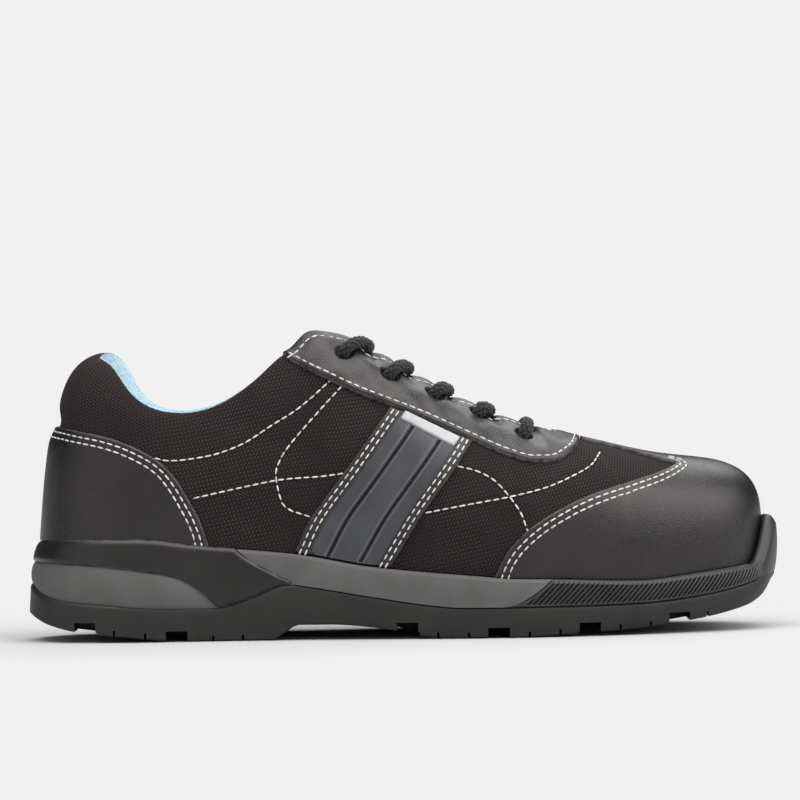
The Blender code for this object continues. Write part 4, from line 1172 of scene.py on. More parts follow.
def closed_shell(name, material, u, *faces):
    """The upper's wall between two (shares, points) faces, closed along its foot and its open rim."""
    net = Net()
    outside, inside = (net.add(points, wall_uv(u, v)) for v, points in faces)
    net.strip(outside[:, 0], inside[:, 0])
    places = u[:, 0]
    for half in (places <= CLOSED + 1e-6, places >= TURN - CLOSED - 1e-6):
        net.strip(outside[half, -1], inside[half, -1])
    settle(net.finish(name, material, sharp=60), "textile", "upper")


def panel_net(edges, holes, spacing, roll, lines):
    """Flat points and triangles of a panel, closer where it rolls, and the points of its cut edges."""
    paths = [resample(path, OUTLINE_STEP)[:-1] for path, _ in edges]
    loops = [np.concatenate(paths), *holes]
    masks = [np.concatenate([np.full(len(path), cut) for path, (_, cut) in zip(paths, edges)])]
    masks += [np.ones(len(hole), bool) for hole in holes]
    border = np.concatenate(loops)
    inner = []
    for share in ROLL_SHARES:
        for loop, mask in zip(loops, masks):
            side = left_of(unit(np.roll(loop, -1, axis=0) - np.roll(loop, 1, axis=0))) * share * roll
            for points in (loop + side, loop - side):
                points = points[mask]
                points = points[enclosed(points, loops)]
                inner.append(points[flat_away(points, border) > 0.8 * share * roll])
    low, high = loops[0].min(axis=0), loops[0].max(axis=0)
    xs = np.arange(low[0], high[0], spacing)
    ys = np.arange(low[1], high[1], spacing * TRIANGLE_HEIGHT)
    field = np.stack(np.meshgrid(xs, ys), axis=2)
    field[1::2, :, 0] += spacing / 2
    field = field.reshape(-1, 2)
    field = field[enclosed(field, loops)]
    field = field[flat_away(field, border) > ROLL_SHARES[-1] * roll + 0.4 * spacing]
    for guide in lines:
        guide = guide[enclosed(guide, loops)]
        guide = guide[flat_away(guide, border) > GUIDE_CLEAR]
        field = field[flat_away(field, guide) > 0.35 * spacing]
        inner.append(guide)
    flat = np.concatenate([border, *inner, field])
    ties = []
    for loop in loops:
        own = np.arange(len(loop)) + len(ties)
        ties += np.stack([own, np.roll(own, -1)], axis=1).tolist()
    made = delaunay_2d_cdt([Vector(p) for p in flat.tolist()], ties, [], 1, 1e-4, False)
    flat = np.array([tuple(p) for p in made[0]])
    triangles = np.array([f for f in made[2] if len(f) == 3])
    triangles = triangles[enclosed(flat[triangles].mean(axis=1), loops)]
    return flat, triangles, border[np.concatenate(masks)]


def panel(
    name, skin, edges, material, base, top, spacing, holes=(), rows=(), roll=CUT_EDGE, relief=None, lines=(),
):
    """A closed sheet on a surface, cut to a flat outline, with rolled cut edges and pulled-in stitch rows.

    edges are (flat path, cut) pairs in order round the outline: an edge that isn't cut is left square.
    """
    flat, triangles, cut = panel_net(edges, holes, spacing, roll, lines)
    places = skin.places(flat)
    floor = skin.points(places, base)
    from_edge, _ = nearest(floor, skin.points(skin.places(cut), base))
    lift = quarter_round(from_edge / roll)
    for row in rows:
        from_row, at = nearest(floor, row.points)
        beat = 1 - STITCH_BEAT + STITCH_BEAT * np.cos(2 * math.pi * row.run[at] / STITCH_PITCH)
        lift = lift - STITCH_SINK * beat * hump(from_row, PULL_WIDTH) / (top - base)
    raised = np.zeros(len(flat)) if relief is None else relief(flat, places, from_edge)
    face = skin.points(places, base + (top - base) * np.maximum(lift, 0.0) + raised)
    count = len(flat)
    sides = np.concatenate([triangles[:, [0, 1]], triangles[:, [1, 2]], triangles[:, [2, 0]]])
    sides = dict.fromkeys(map(tuple, sides.tolist()))
    faces = triangles.tolist() + (triangles[:, ::-1] + count).tolist()
    faces += [(b, a, a + count, b + count) for a, b in sides if (b, a) not in sides]
    mesh = bpy.data.meshes.new(name)
    mesh.from_pydata((np.concatenate([face, floor]) * MM).tolist(), [], faces)
    for key, values in (("edge", from_edge), ("raised", raised)):
        mark = mesh.attributes.new(key, "FLOAT", "POINT")
        mark.data.foreach_set("value", np.concatenate([values, np.zeros(count)]))
    weld(mesh)
    mesh.shade_smooth()
    mesh.set_sharp_from_angle(angle=math.radians(65))
    return add_piece(name, mesh, material)


def inside_rows(edge, edges, insets, top):
    """Stitch rows on a panel that follow an edge at distances inside its outline."""
    outline = np.concatenate([resample(path, OUTLINE_STEP)[:-1] for path, _ in edges])
    rows = []
    for distance in insets:
        for side in (distance, -distance):
            path = beside_path(edge, side, SKIN)
            kept = path[enclosed(path, [outline])]
            if len(kept) > 0.8 * len(path):
                rows.append(Row(round_off(kept, 0.8), top - ROW_SUNK, SKIN))
                break
    return rows


def flat_edge(u, v):
    return SKIN.lay(np.stack([u, v + 0 * u], axis=1))


def foot_place(percent, side):
    """How far round from the heel the upper's foot passes a place along the shoe, on one side."""
    return where(lambda place: sole_edge(side(place), inset(side(place)))[0], along(percent), 0.0, LAST)


def make_counter(material):
    """Heel counter, wrapped round the heel from side to side."""
    outer, inner = (foot_place(COUNTER_LINE[-1][0], side) for side in BOTH_SIDES)
    share = np.sin(np.linspace(-0.5, 0.5, 1200) * math.pi) * 0.5 + 0.5
    u = -inner + (outer + inner) * share
    v = height_on_wall(u, line(COUNTER_LINE))
    v[[0, -1]] = 0.0
    head = round_off(flat_edge(u, v), 1.2)
    foot = flat_edge(np.linspace(outer, -inner, 300), 0.0)
    edges = [(head, True), (foot, False)]
    rows = inside_rows(head, edges, ROW_INSETS, COVER)
    obj = panel("heel_counter_leather", SKIN, edges, material, SEAM, COVER, 1.9, rows=rows)
    settle(obj, "leather", "heel_counter")
    return rows


def make_toe_cap(material):
    """Toe cap with the strip that runs back over the ridge to the eyestay."""
    cap = line(TOE_CAP_LINE)
    strip_x = float(along(EYESTAY_LINE[-1][0])) + STRIP_CLEAR

    def strip_end(u):
        """Share of the way up each wall where the strip stops short of the eyestay."""
        x = look_up(WALL_POINTS, np.asarray(u)[:, None], NET_SHARES)[..., 0]
        return np.array([np.interp(-strip_x, -c, NET_SHARES) for c in x])

    paths, ends, feet = [], [], []
    strip_start = where(top_x, strip_x, CLOSED, LAST)
    for side in BOTH_SIDES:
        foot = foot_place(TOE_CAP_LINE[0][0], side)
        tip = where(lambda p: height_on_wall(side(p), cap) - strip_on_wall(side(p)), 0.0, STRIP_SPAN[0], LAST)
        corner = where(lambda p: strip_end(side(p)) - strip_on_wall(side(p)), 0.0, CLOSED - 1, strip_start)
        climb = side(foot + (tip - foot) * np.linspace(0, 1, 500) ** 1.6)
        v = height_on_wall(climb, cap)
        v[0] = 0.0
        back = side(np.linspace(tip, corner, 240))
        across = side(np.linspace(corner, strip_start, 60))
        edge = np.concatenate([flat_edge(climb, v), flat_edge(back, strip_on_wall(back))])
        paths.append(round_off(edge, 1.6))
        ends.append(flat_edge(across, strip_end(across)))
        feet.append(side(foot))
    toe = flat_edge(np.linspace(feet[1], feet[0], 500), 0.0)
    edges = [
        (paths[0], True), (ends[0], False), (ends[1][::-1], False), (paths[1][::-1], True), (toe, False),
    ]
    rows = []
    for path in paths:
        tip = int(np.argmax(path[:, 0]))
        rows += inside_rows(path[:tip + 9], edges, ROW_INSETS, COVER)
    obj = panel("toe_cap_leather", SKIN, edges, material, SEAM, COVER, 2.0, rows=rows)
    settle(obj, "leather", "toe_cap")
    return rows


def lace_places():
    """Places (u, v) of the lace holes: the outer row from the top, then the inner row."""
    points = [(hole.along, hole.up) for hole in LACE_HOLES]
    return np.concatenate([locate(points), locate(points, inner_side=True)])


def make_eyestay(material, holes):
    """Facing round the throat, with punched lace holes and a row of stitches near each edge."""
    edge = line(EYESTAY_LINE)
    start = where(top_x, along(EYESTAY_LINE[0][0]), THROAT_SEARCH, LAST)
    end = where(top_x, along(EYESTAY_LINE[-1][0]), CLOSED, LAST)
    lower, rims, rears = [], [], []
    for side in BOTH_SIDES:
        u = start + (end - start) * np.sin(np.linspace(0, 0.5, 700) * math.pi)
        v = height_on_wall(side(u), edge)
        lower.append(flat_edge(side(u), v))
        rims.append(flat_edge(side(np.linspace(start, CLOSED, 500)), 1.0))
        rears.append(flat_edge(np.full(40, side(start)), np.linspace(v[0], 1.0, 40)))
    skirt = round_off(np.concatenate([lower[0], lower[1][::-1]]), 1.0)
    throat = round_off(np.concatenate([rims[0], rims[1][::-1]]), 0.8)
    edges = [(skirt, True), (rears[1], True), (throat[::-1], True), (rears[0][::-1], True)]
    turn = np.linspace(0, 2 * math.pi, 24, endpoint=False)
    circle = LACE_HOLE_RADIUS * np.stack([np.cos(turn), np.sin(turn)], axis=1)
    loops = [SKIN.lay(place[None, :]) + circle for place in holes]
    rows = inside_rows(skirt, edges, SKIRT_INSETS, LEATHER)
    rows += inside_rows(throat, edges, THROAT_INSETS, LEATHER)

    def waves(flat, places, from_edge):
        """Soft hollows and swells that fade out towards the cut edges."""
        swell = np.sin(flat[:, 0] * 0.38) * np.sin(flat[:, 1] * 0.31 + flat[:, 0] * 0.11)
        return EYESTAY_WAVE * swell * ramp(from_edge, 0.0, EYESTAY_WAVE_FADE)

    obj = panel(
        "eyestay_leather", SKIN, edges, material, SEAM, LEATHER, 1.3, holes=loops, rows=rows, roll=1.3,
        relief=waves,
    )
    settle(obj, "leather", "eyestay")
    return rows


def band_line(share, inner_side, start=0.0, end=1.0):
    """A line up the side band at a share of its width, on the flat pattern."""
    rear, front = np.array(BAND_REAR), np.array(BAND_FRONT)
    knots = spline(rear + (front - rear) * share, 1.0)
    percents = read_path(np.linspace(start, end, 30), np.linspace(0, 1, len(knots)), knots)
    sole = (sole_z(along(percents[:, 0])) + 3 * GAP) / INSTEP_HEIGHT * 100
    percents[:, 1] = np.maximum(percents[:, 1], sole)
    return SIDE.lay(locate(percents, inner_side))


def band_outline(first, last, inner_side):
    """Edges of the part of a side band that lies between two shares of its width."""
    rear, front = (band_line(share, inner_side) for share in (first, last))
    ends = []
    for knot, edge, clear in ((0, sole_z, 3 * GAP), (-1, line(EYESTAY_LINE), -BAND_CLEAR)):
        low, high = BAND_REAR[knot][0], BAND_FRONT[knot][0]
        x = np.linspace(low + (high - low) * first, low + (high - low) * last, 12)
        z = (edge(along(x)) + clear) / INSTEP_HEIGHT * 100
        ends.append(SIDE.lay(locate(np.stack([x, z], axis=1), inner_side)))
    foot, head = ends
    foot = foot[::-1]
    foot[[0, -1]] = front[0], rear[0]
    head[[0, -1]] = rear[-1], front[-1]
    return [(rear, True), (head, True), (front[::-1], True), (foot, False)]


def make_band(node, inner_side, panel_material, strip_material):
    """Side band: a grooved panel between two edge strips with double rows of stitches."""
    first, last = BAND_STRIPS[0][1] - BAND_LAP, BAND_STRIPS[1][0] + BAND_LAP
    grooves = [resample(band_line(share, inner_side), 0.5) for share in BAND_GROOVES]
    guides = [beside_path(groove, away, SIDE) for groove in grooves for away in GROOVE_GUIDES]

    def grooved(flat, places, from_edge):
        """A sharp groove with a low welt on each side of it."""
        height = np.zeros(len(flat))
        for groove in grooves:
            away = flat_away(flat, groove)
            height += WELT_HEIGHT * hump(away - WELT_PLACE, WELT_WIDTH)
            height -= GROOVE_DEPTH * hump(away, GROOVE_WIDTH)
        return height

    edges = band_outline(first, last, inner_side)
    obj = panel(
        node + "_panel", SIDE, edges, panel_material, SEAM, BAND_PANEL, 0.9, relief=grooved, lines=guides,
    )
    settle(obj, "band", node)
    rows = [Row(band_line(share, inner_side, 0.005, 0.97), BAND_STRIP - 0.15, SIDE) for share in BAND_ROWS]
    for n, (low, high) in enumerate(BAND_STRIPS):
        edges = band_outline(low, high, inner_side)
        own = rows[2 * n:2 * n + 2]
        obj = panel(f"{node}_strip_{n + 1}", SIDE, edges, strip_material, SEAM, BAND_STRIP, 1.1, rows=own)
        settle(obj, "band", node)
    return rows


def make_tag(material):
    """Reflective tag across the head of the outer band, with rounded corners."""
    corners = SIDE.lay(locate([*TAG_CORNERS, TAG_CORNERS[0]]))
    path = np.concatenate([np.linspace(a, b, 30, endpoint=False) for a, b in zip(corners, corners[1:])])
    middle = (corners[0] + corners[1]) / 2
    path = np.roll(path, -15, axis=0)
    path = round_off(np.concatenate([path, path[:1]]), 0.4)
    path[-1] = path[0] = middle
    obj = panel("side_tag_tape", SIDE, [(path, True)], material, TAG_BED, TAG_FACE, 0.9, roll=0.7)
    settle(obj, "tag", "side_tag")


def make_tongue(material):
    """Padded tongue under the throat, from its front end to the top of the eyestay."""
    start = where(top_x, along(TONGUE_REAR), THROAT_SEARCH, LAST)
    u = np.linspace(start, CLOSED + 0.25, 120)
    margin = np.linspace(1 - TONGUE_MARGIN, 1.0, 10)
    sheets = []
    for side in BOTH_SIDES:
        places = side(u)[:, None]
        depth = np.maximum(wall_thickness(places, margin), WALL) + 2 * GAP
        skin = look_up(WALL_POINTS, places, margin)
        sheets.append(skin - look_up(WALL_NORMALS, places, margin) * depth[..., None])
    outer, inner = sheets
    opening = np.linalg.norm(outer[:, -1] - inner[:, -1], axis=1)
    crown = np.minimum(0.5 + 0.03 * opening, 0.1 * opening)
    share = np.linspace(0, 1, 26)[1:-1]
    bridge = outer[:, -1:] * (1 - share)[None, :, None] + inner[:, -1:] * share[None, :, None]
    bridge[..., 2] += crown[:, None] * np.sin(np.pi * share)[None, :] ** 0.8
    face = np.concatenate([outer, bridge, inner[:, ::-1]], axis=1)
    normal = unit(np.cross(np.gradient(face, axis=0), np.gradient(face, axis=1)))
    normal *= np.sign(normal[..., 2:3].mean())
    run = np.linspace(0, TONGUE_LENGTH, len(u))[:, None]
    wide = np.linspace(-1, 1, face.shape[1])[None, :]
    seam = (run + 6) % QUILT_PITCH - QUILT_PITCH / 2
    quilt = QUILT_DEPTH * hump(seam, QUILT_WIDTH) * (np.abs(wide) < 0.8)
    rounded = quarter_round(run / TONGUE_END) * quarter_round((1 - np.abs(wide)) / TONGUE_SIDE)
    full = TONGUE * np.maximum(rounded, 0.05)
    front = face - normal * (quilt + (TONGUE - full) / 2)[..., None]
    back = face - normal * ((TONGUE + full) / 2)[..., None]
    uv = np.stack([run + 0 * wide, 0 * run + wide * 30], axis=2)
    net = Net()
    sheets = [net.add(block, uv) for block in (front, back)]
    for pick in ((slice(None), 0), (slice(None), -1), (0, slice(None)), (-1, slice(None))):
        net.strip(sheets[0][pick], sheets[1][pick])
    obj = net.finish("tongue_padded", material, sharp=60)
    settle(obj, "textile", "tongue")


def carried_frames(points):
    """Two directions across a path that turn with it without twisting."""
    ahead = unit(np.gradient(points, axis=0))
    side = np.cross(ahead[0], (0.0, 0.0, 1.0))
    sides = []
    for way in ahead:
        side = unit(side - way * (side @ way))
        sides.append(side)
    sides = np.array(sides)
    return sides, np.cross(ahead, sides)


def rings(path, one, other, one_radius, other_radius, count):
    """Rings round a path, each with a radius along each of two directions across it."""
    turn = np.linspace(0, 2 * math.pi, count)[:, None]
    across = one[:, None] * (one_radius * np.cos(turn)) + other[:, None] * (other_radius * np.sin(turn))
    return path[:, None] + across


def make_lace(number, places, material):
    """One lace bar: up through a hole, over both edges of the throat and down through the opposite hole."""
    rest = LEATHER + LACE_RADIUS
    share = np.array([0.0, 0.0, 0.1, 0.35, 0.7, 1.0])
    lift = np.array([-0.2, 1.6, 3.6, rest - 0.3, rest - 0.1, rest - 0.2])
    halves = []
    for (u, v), side in zip(places, BOTH_SIDES):
        over = side(CROSSINGS[number])
        halves.append(off_wall(u + (over - u) * share, v + (LACE_OVER - v) * share, lift))
    middle = (halves[0][-1:] + halves[1][-1:]) / 2 + (0.0, 0.0, LACE_CROWN)
    path = spline(np.concatenate([halves[0], middle, halves[1][::-1]]), LACE_STEP)
    side, other = carried_frames(path)
    run = LACE_STEP * np.arange(len(path))
    net = Net()
    add_tube(net, rings(path, side, other, BRAID_CORE, BRAID_CORE, 13))
    for way in (1, -1):
        for yarn in range(YARNS):
            angle = 2 * math.pi * (yarn / YARNS + way * run / YARN_LAY)
            weave = way * np.cos(2 * math.pi * YARNS * run / YARN_LAY)
            radial = side * np.cos(angle)[:, None] + other * np.sin(angle)[:, None]
            centre = path + radial * (BRAID_CORE + YARN_RISE * weave)[:, None]
            flank = unit(np.cross(np.gradient(centre, axis=0), radial))
            add_tube(net, rings(centre, radial, flank, YARN_THICKNESS, YARN_WIDTH, 7))
    name = f"lace_bar_{number + 1}"
    settle(net.finish(name + "_braid", material), "lace", name)


def add_tube(net, rings):
    """A closed tube from rings whose first and last points are the same."""
    index = net.add(rings)
    for end in (index[0, :-1], index[-1, ::-1][:-1]):
        net.faces.append(end.tolist())


def sole_block(u, places):
    """Points at (distance inside the edge, height) pairs for each place round the sole."""
    rows = []
    for inside, z in places:
        x, y = sole_edge(u, inside)
        rows.append(np.stack([x, y, z], axis=1))
    return np.stack(rows, axis=1)


def sole_layer(u, places):
    """A closed net through the same pairs all the way round, laddered across at its foot and its head."""
    block = sole_block(u, places)
    net = Net()
    index = net.add(np.concatenate([block, block[:1]]))
    net.ladder(index[:-1, 0])
    net.ladder(index[:-1, -1])
    return net


def rounded_top(inside, head, radius):
    """Pairs that carry a wall over a rounded top edge."""
    pairs = []
    for angle in np.radians((0, 25, 50, 72, 90)):
        pairs.append((inside + radius * (1 - math.cos(angle)), head - radius * (1 - math.sin(angle))))
    return pairs


def insert_swell(u, z):
    """The heel insert swells out between the outsole and the stabiliser's foot."""
    x = edge_x(u)
    low, high = parting_z(x), line(STABILISER_FOOT)(x)
    share = np.clip((z - low) / np.maximum(high - low, 1.0), 0.0, 1.0)
    end = STABILISER_FOOT[-1][0]
    return INSERT_SWELL * np.sqrt(np.sin(np.pi * share)) * ramp(x, along(end), along(end - INSERT_FADE))


def make_midsole(material):
    """Grey wedge, seen round the heel and along the arch."""
    u = np.linspace(0, TURN, 600, endpoint=False)
    seat = seat_z(u)
    split = np.minimum(outsole_top_z(u) + 0.1, seat)
    held = rim_inset(u) + GAP
    exposed = seat - split > 0.2
    radius = np.minimum(MIDSOLE_ROUND, 0.4 * (seat - split))
    places = [(held, parting_z(edge_x(u)) + GAP), (held, split)]
    for z in np.linspace(split, seat - radius, 24):
        places.append((np.where(exposed, midsole_inset(u, z) - insert_swell(u, z), held), z))
    for inside, z in rounded_top(midsole_inset(u, seat), seat, radius)[1:]:
        places.append((np.where(exposed, inside, held), z))
    settle(sole_layer(u, places).finish("midsole_foam", material, sharp=50), "midsole", "midsole")


def make_stabiliser(material):
    """Moulded cradle round the heel, with an arrow-shaped arm on each side."""
    reach = where(edge_x, along(STABILISER_ARROW[-1][0]), 0.0, LAST)
    u = np.linspace(-reach, reach, 900)
    x = edge_x(u)
    ground = parting_z(x) + 0.25
    foot = np.where(x < along(STABILISER_FOOT[-1][0]), line(STABILISER_FOOT)(x), ground)
    foot = np.maximum(foot, ground)
    head = np.where(x < along(STABILISER_ARROW[0][0]), seat_z(u) + 0.5, line(STABILISER_ARROW)(x))
    head = np.maximum(head, foot)
    low, top = (round_off(HEEL.lay(np.stack([u, z], axis=1)), 0.7) for z in (foot, head))
    low[[0, -1]] = top[[0, -1]]

    def shoulder(flat, places, from_edge):
        """The cradle swells towards its top edge."""
        below = seat_z(places[:, 0]) - places[:, 1]
        return CRADLE_SWELL * ramp(below, CRADLE_SWELL_HEIGHT, 0.0) * ramp(from_edge, 0.0, 2.5)

    edges = [(low, True), (top[::-1], True)]
    obj = panel(
        "heel_stabiliser_shell", HEEL, edges, material, 0.0, STABILISER, 1.4, roll=1.8, relief=shoulder,
    )
    settle(obj, "stabiliser", "heel_stabiliser")


def make_insole(material):
    """Footbed with a rounded edge."""
    u = np.linspace(0, TURN, 360, endpoint=False)
    edge = inset(u) + WALL + LINING_FREE
    foot = seat_z(u) + GAP
    places = [(edge, foot), *rounded_top(edge, foot + INSOLE, INSOLE_ROUND)]
    settle(sole_layer(u, places).finish("insole_footbed", material, sharp=50), "insole", "insole")


def make_rib_wall(material):
    """Forefoot wall of the outsole with its slanting ribs, and the smooth bumper over the toe."""
    start = where(edge_x, along(RIM_SWEEP[0]), 0.0, LAST)
    u = np.linspace(start, TURN - start, 1500)
    low = parting_z(edge_x(u))
    head = outsole_top_z(u)
    ribbed = ramp(from_heel(u), *RIB_FADE)
    radius = np.minimum(BUMPER_ROUND + (WALL_ROUND - BUMPER_ROUND) * ribbed, 0.35 * (head - low))
    run = run_along(np.stack([edge_x(u), edge_y(u)], axis=1))
    from_toe = np.abs(run - np.interp(LAST, u, run))
    places = [(rim_inset(u), low), (side_inset(u, low) + PARTING_STEP * ribbed, low)]
    for share in (0.02, *np.linspace(0.06, 0.97, 24)):
        climbed = (head - radius - low) * share
        phase = (from_toe + climbed * RIB_SLOPE) / RIB_PITCH
        groove = RIB_DEPTH * (0.5 + 0.5 * np.cos(2 * math.pi * phase)) ** 1.5
        left = np.minimum(head - low, RIB_HEIGHT) - climbed
        groove = groove * ramp(climbed, *RIB_FOOT) * ramp(left, *RIB_HEAD)
        lip = 0.5 * ramp(climbed, 0.5, 0.0)
        places.append((side_inset(u, low + climbed) + (groove + lip) * ribbed, low + climbed))
    places += rounded_top(side_inset(u, head), head, radius)[1:]
    places += [(rim_inset(u), head - 0.3 * radius), (rim_inset(u), low)]
    net = Net()
    index = net.add(sole_block(u, places))
    for end in (index[0], index[-1, ::-1]):
        net.faces.append(end[:-1].tolist())
    settle(net.finish("outsole_ribbed_wall", material, sharp=70), "outsole", "outsole")


def lane(x, share):
    """Plan point at a share of the way from the tread's middle to its outer (-) or inner (+) edge."""
    place = where(edge_x, x, 0.0, LAST)
    outer, inner = (float(edge_y(side(place))) for side in BOTH_SIDES)
    return x, (outer + inner) / 2 + (inner - outer) / 2 * share


def add_channel(net, points, width, depth, chamfer):
    """A groove cutter along plan points, wider at the tread's face so that lug edges are chamfered."""
    points = np.array(points, float)
    side = left_of(unit(np.gradient(points, axis=0)))
    tread = tread_z(points[:, 0])
    inner, outer = width / 2, width / 2 + chamfer
    profile = [(inner, depth), (inner, chamfer), (outer, 0.0), (outer, -CUT_BELOW)]
    profile += [(-across, height) for across, height in profile[::-1]]
    profile.append(profile[0])
    sections = [np.column_stack([points + side * across, tread + height]) for across, height in profile]
    add_tube(net, np.stack(sections, axis=1))


def tread_cutters():
    """Channels along the tread, notches out to its sides, and narrow sipes across the lugs."""
    net = Net()
    for span in CHANNEL_SPANS:
        xs = along(np.linspace(*span, 6))
        for side in (-1, 1):
            sway = [side * CHANNEL_SHARE * (1 + 0.12 * (-1) ** k) for k in range(len(xs))]
            add_channel(net, [lane(x, s) for x, s in zip(xs, sway)], CHANNEL_WIDTH, LUG_DEPTH, LUG_CHAMFER)
    for cut in TREAD_CUTS:
        for x in along(cut.places):
            for span in cut.spans:
                add_channel(net, [lane(x, share) for share in span], cut.width, cut.depth, cut.chamfer)
    return net.finish("tread_cutters", bpy.data.materials.new("cutter"))


def make_tread(material):
    """Outsole below the parting line, with its lugs, notches and sipes."""
    u = np.linspace(0, TURN, 480, endpoint=False)
    foot = tread_z(edge_x(u))
    head = parting_z(edge_x(u))
    bevel = np.minimum(0.8, 0.2 * (head - foot))
    places = [(side_inset(u, foot) + bevel, foot)]
    for z in np.linspace(foot + bevel, head - 1.1, 9):
        places.append((side_inset(u, z), z))
    step = PARTING_STEP * ramp(from_heel(u), *RIB_FADE)
    places += [(side_inset(u, head) + 0.25 * step, head - 0.55), (side_inset(u, head) + step, head)]
    plain = sole_layer(u, places).finish("plain_tread", material)
    cutters = tread_cutters()
    knife = plain.modifiers.new("Cut tread", "BOOLEAN")
    knife.operation = "DIFFERENCE"
    knife.object = cutters
    knife.use_self = True
    mesh = plain_mesh(plain, "outsole_tread")
    bpy.data.objects.remove(cutters)
    mesh.shade_smooth()
    mesh.set_sharp_from_angle(angle=math.radians(30))
    settle(add_piece("outsole_tread", mesh, material), "outsole", "outsole")


def plain_mesh(obj, name):
    """The evaluated mesh of an object, which is then removed."""
    graph = bpy.context.evaluated_depsgraph_get()
    mesh = bpy.data.meshes.new_from_object(obj.evaluated_get(graph))
    mesh.name = name
    mesh.materials.clear()
    bpy.data.objects.remove(obj)
    return mesh


def stitch_tree():
    """Geometry nodes that lay a stitch at every pitch along the rows of a path mesh."""
    tree = bpy.data.node_groups.new("stitch_rows", "GeometryNodeTree")
    face = tree.interface
    face.new_socket("Rows", in_out="INPUT", socket_type="NodeSocketGeometry")
    for name in ("Pitch", "Length", "Thickness"):
        face.new_socket(name, in_out="INPUT", socket_type="NodeSocketFloat")
    face.new_socket("Thread", in_out="INPUT", socket_type="NodeSocketMaterial")
    face.new_socket("Stitches", in_out="OUTPUT", socket_type="NodeSocketGeometry")
    kit = Kit(tree)

    def node(kind, sockets=None, **settings):
        return Value(kit, kit.make(kind, settings, sockets).outputs[0])

    given = {socket.name: Value(kit, socket) for socket in kit.make("NodeGroupInput").outputs}
    curve = node("GeometryNodeMeshToCurve", {"Mesh": given["Rows"]})
    places = node("GeometryNodeResampleCurve", {"Curve": curve, "Length": given["Pitch"]}, mode="LENGTH")
    facing = node("GeometryNodeInputNamedAttribute", {"Name": "facing"}, data_type="FLOAT_VECTOR")
    tangent = node("GeometryNodeInputTangent")
    turned = node("FunctionNodeAlignRotationToVector", {"Vector": tangent}, axis="X")
    sockets = {"Rotation": turned, "Vector": facing}
    upright = node("FunctionNodeAlignRotationToVector", sockets, axis="Z", pivot_axis="X")
    bead = node("GeometryNodeMeshUVSphere", {"Segments": 6, "Rings": 6, "Radius": 0.5})
    size = node("ShaderNodeCombineXYZ", {0: given["Length"], 1: given["Thickness"], 2: given["Thickness"]})
    sockets = {"Points": places, "Instance": bead, "Rotation": upright, "Scale": size}
    laid = node("GeometryNodeRealizeInstances", {0: node("GeometryNodeInstanceOnPoints", sockets)})
    smooth = node("GeometryNodeSetShadeSmooth", {0: laid})
    thread = node("GeometryNodeSetMaterial", {"Geometry": smooth, "Material": given["Thread"]})
    kit.make("NodeGroupOutput", sockets={0: thread})
    return tree


def make_stitches(name, rows, tree, material):
    """Turns rows of stitches into one mesh of thread."""
    points, ties = [], []
    for row in rows:
        start = len(points)
        points += (row.points * MM).tolist()
        ties += [(n, n + 1) for n in range(start, len(points) - 1)]
    mesh = bpy.data.meshes.new(name)
    mesh.from_pydata(points, ties, [])
    facing = mesh.attributes.new("facing", "FLOAT_VECTOR", "POINT")
    facing.data.foreach_set("vector", np.concatenate([row.facing for row in rows]).ravel())
    path = bpy.data.objects.new(name, mesh)
    bpy.context.scene.collection.objects.link(path)
    sewing = path.modifiers.new("Stitches", "NODES")
    sewing.node_group = tree
    sizes = {
        "Pitch": STITCH_PITCH * MM, "Length": STITCH_LENGTH * MM, "Thickness": STITCH_THICKNESS * MM,
        "Thread": material,
    }
    for item in tree.interface.items_tree:
        if item.name in sizes:
            sewing[item.identifier] = sizes[item.name]
    settle(add_piece(name, plain_mesh(path, name), material), "tag")


# Studio light: direction towards each soft box, the cosines where it starts and is full, and its strength
SoftBox = namedtuple("SoftBox", "toward start full strength")
SOFT_BOXES = [
    SoftBox((0.0, -0.24, 0.97), 0.76, 0.94, 3.4),
    SoftBox((0.70, -0.42, 0.58), 0.84, 0.97, 2.5),
    SoftBox((0.25, 0.62, 0.74), 0.90, 0.985, 2.5),
    SoftBox((0.30, -0.94, 0.12), 0.86, 0.98, 0.8),
    SoftBox((0.92, -0.10, 0.38), 0.84, 0.97, 1.1),
    SoftBox((-0.65, -0.62, 0.40), 0.72, 0.96, 0.75),
]
SKY_STRENGTH = 0.08
BACKDROP = 0.879
FLOOR_TONE = 0.534
FLOOR_MOTTLE = 0.002
FLOOR_REACH = 60.0  # metres

# Camera: metres, and the turn about its axis
LENS = 178.2
SENSOR = 36.0
CAMERA_TURN = math.radians(1.05)
CAMERA_PLACE = (-0.0013, -1.6, 0.094)


def make_floor():
    """A plain pale floor with a hardly visible mottle."""
    f = Finish("floor", Roughness=0.9, Specular_IOR_Level=0.0)
    greys = [(FLOOR_TONE + shift,) * 3 for shift in (-FLOOR_MOTTLE, FLOOR_MOTTLE)]
    f.give(Base_Color=f.mix(f.noise(40.0), *greys))
    mesh = bpy.data.meshes.new("floor")
    corners = [(x * FLOOR_REACH, y * FLOOR_REACH, 0) for x, y in ((-1, -1), (1, -1), (1, 1), (-1, 1))]
    mesh.from_pydata(corners, [], [(0, 1, 2, 3)])
    add_piece("floor", mesh, f.material)


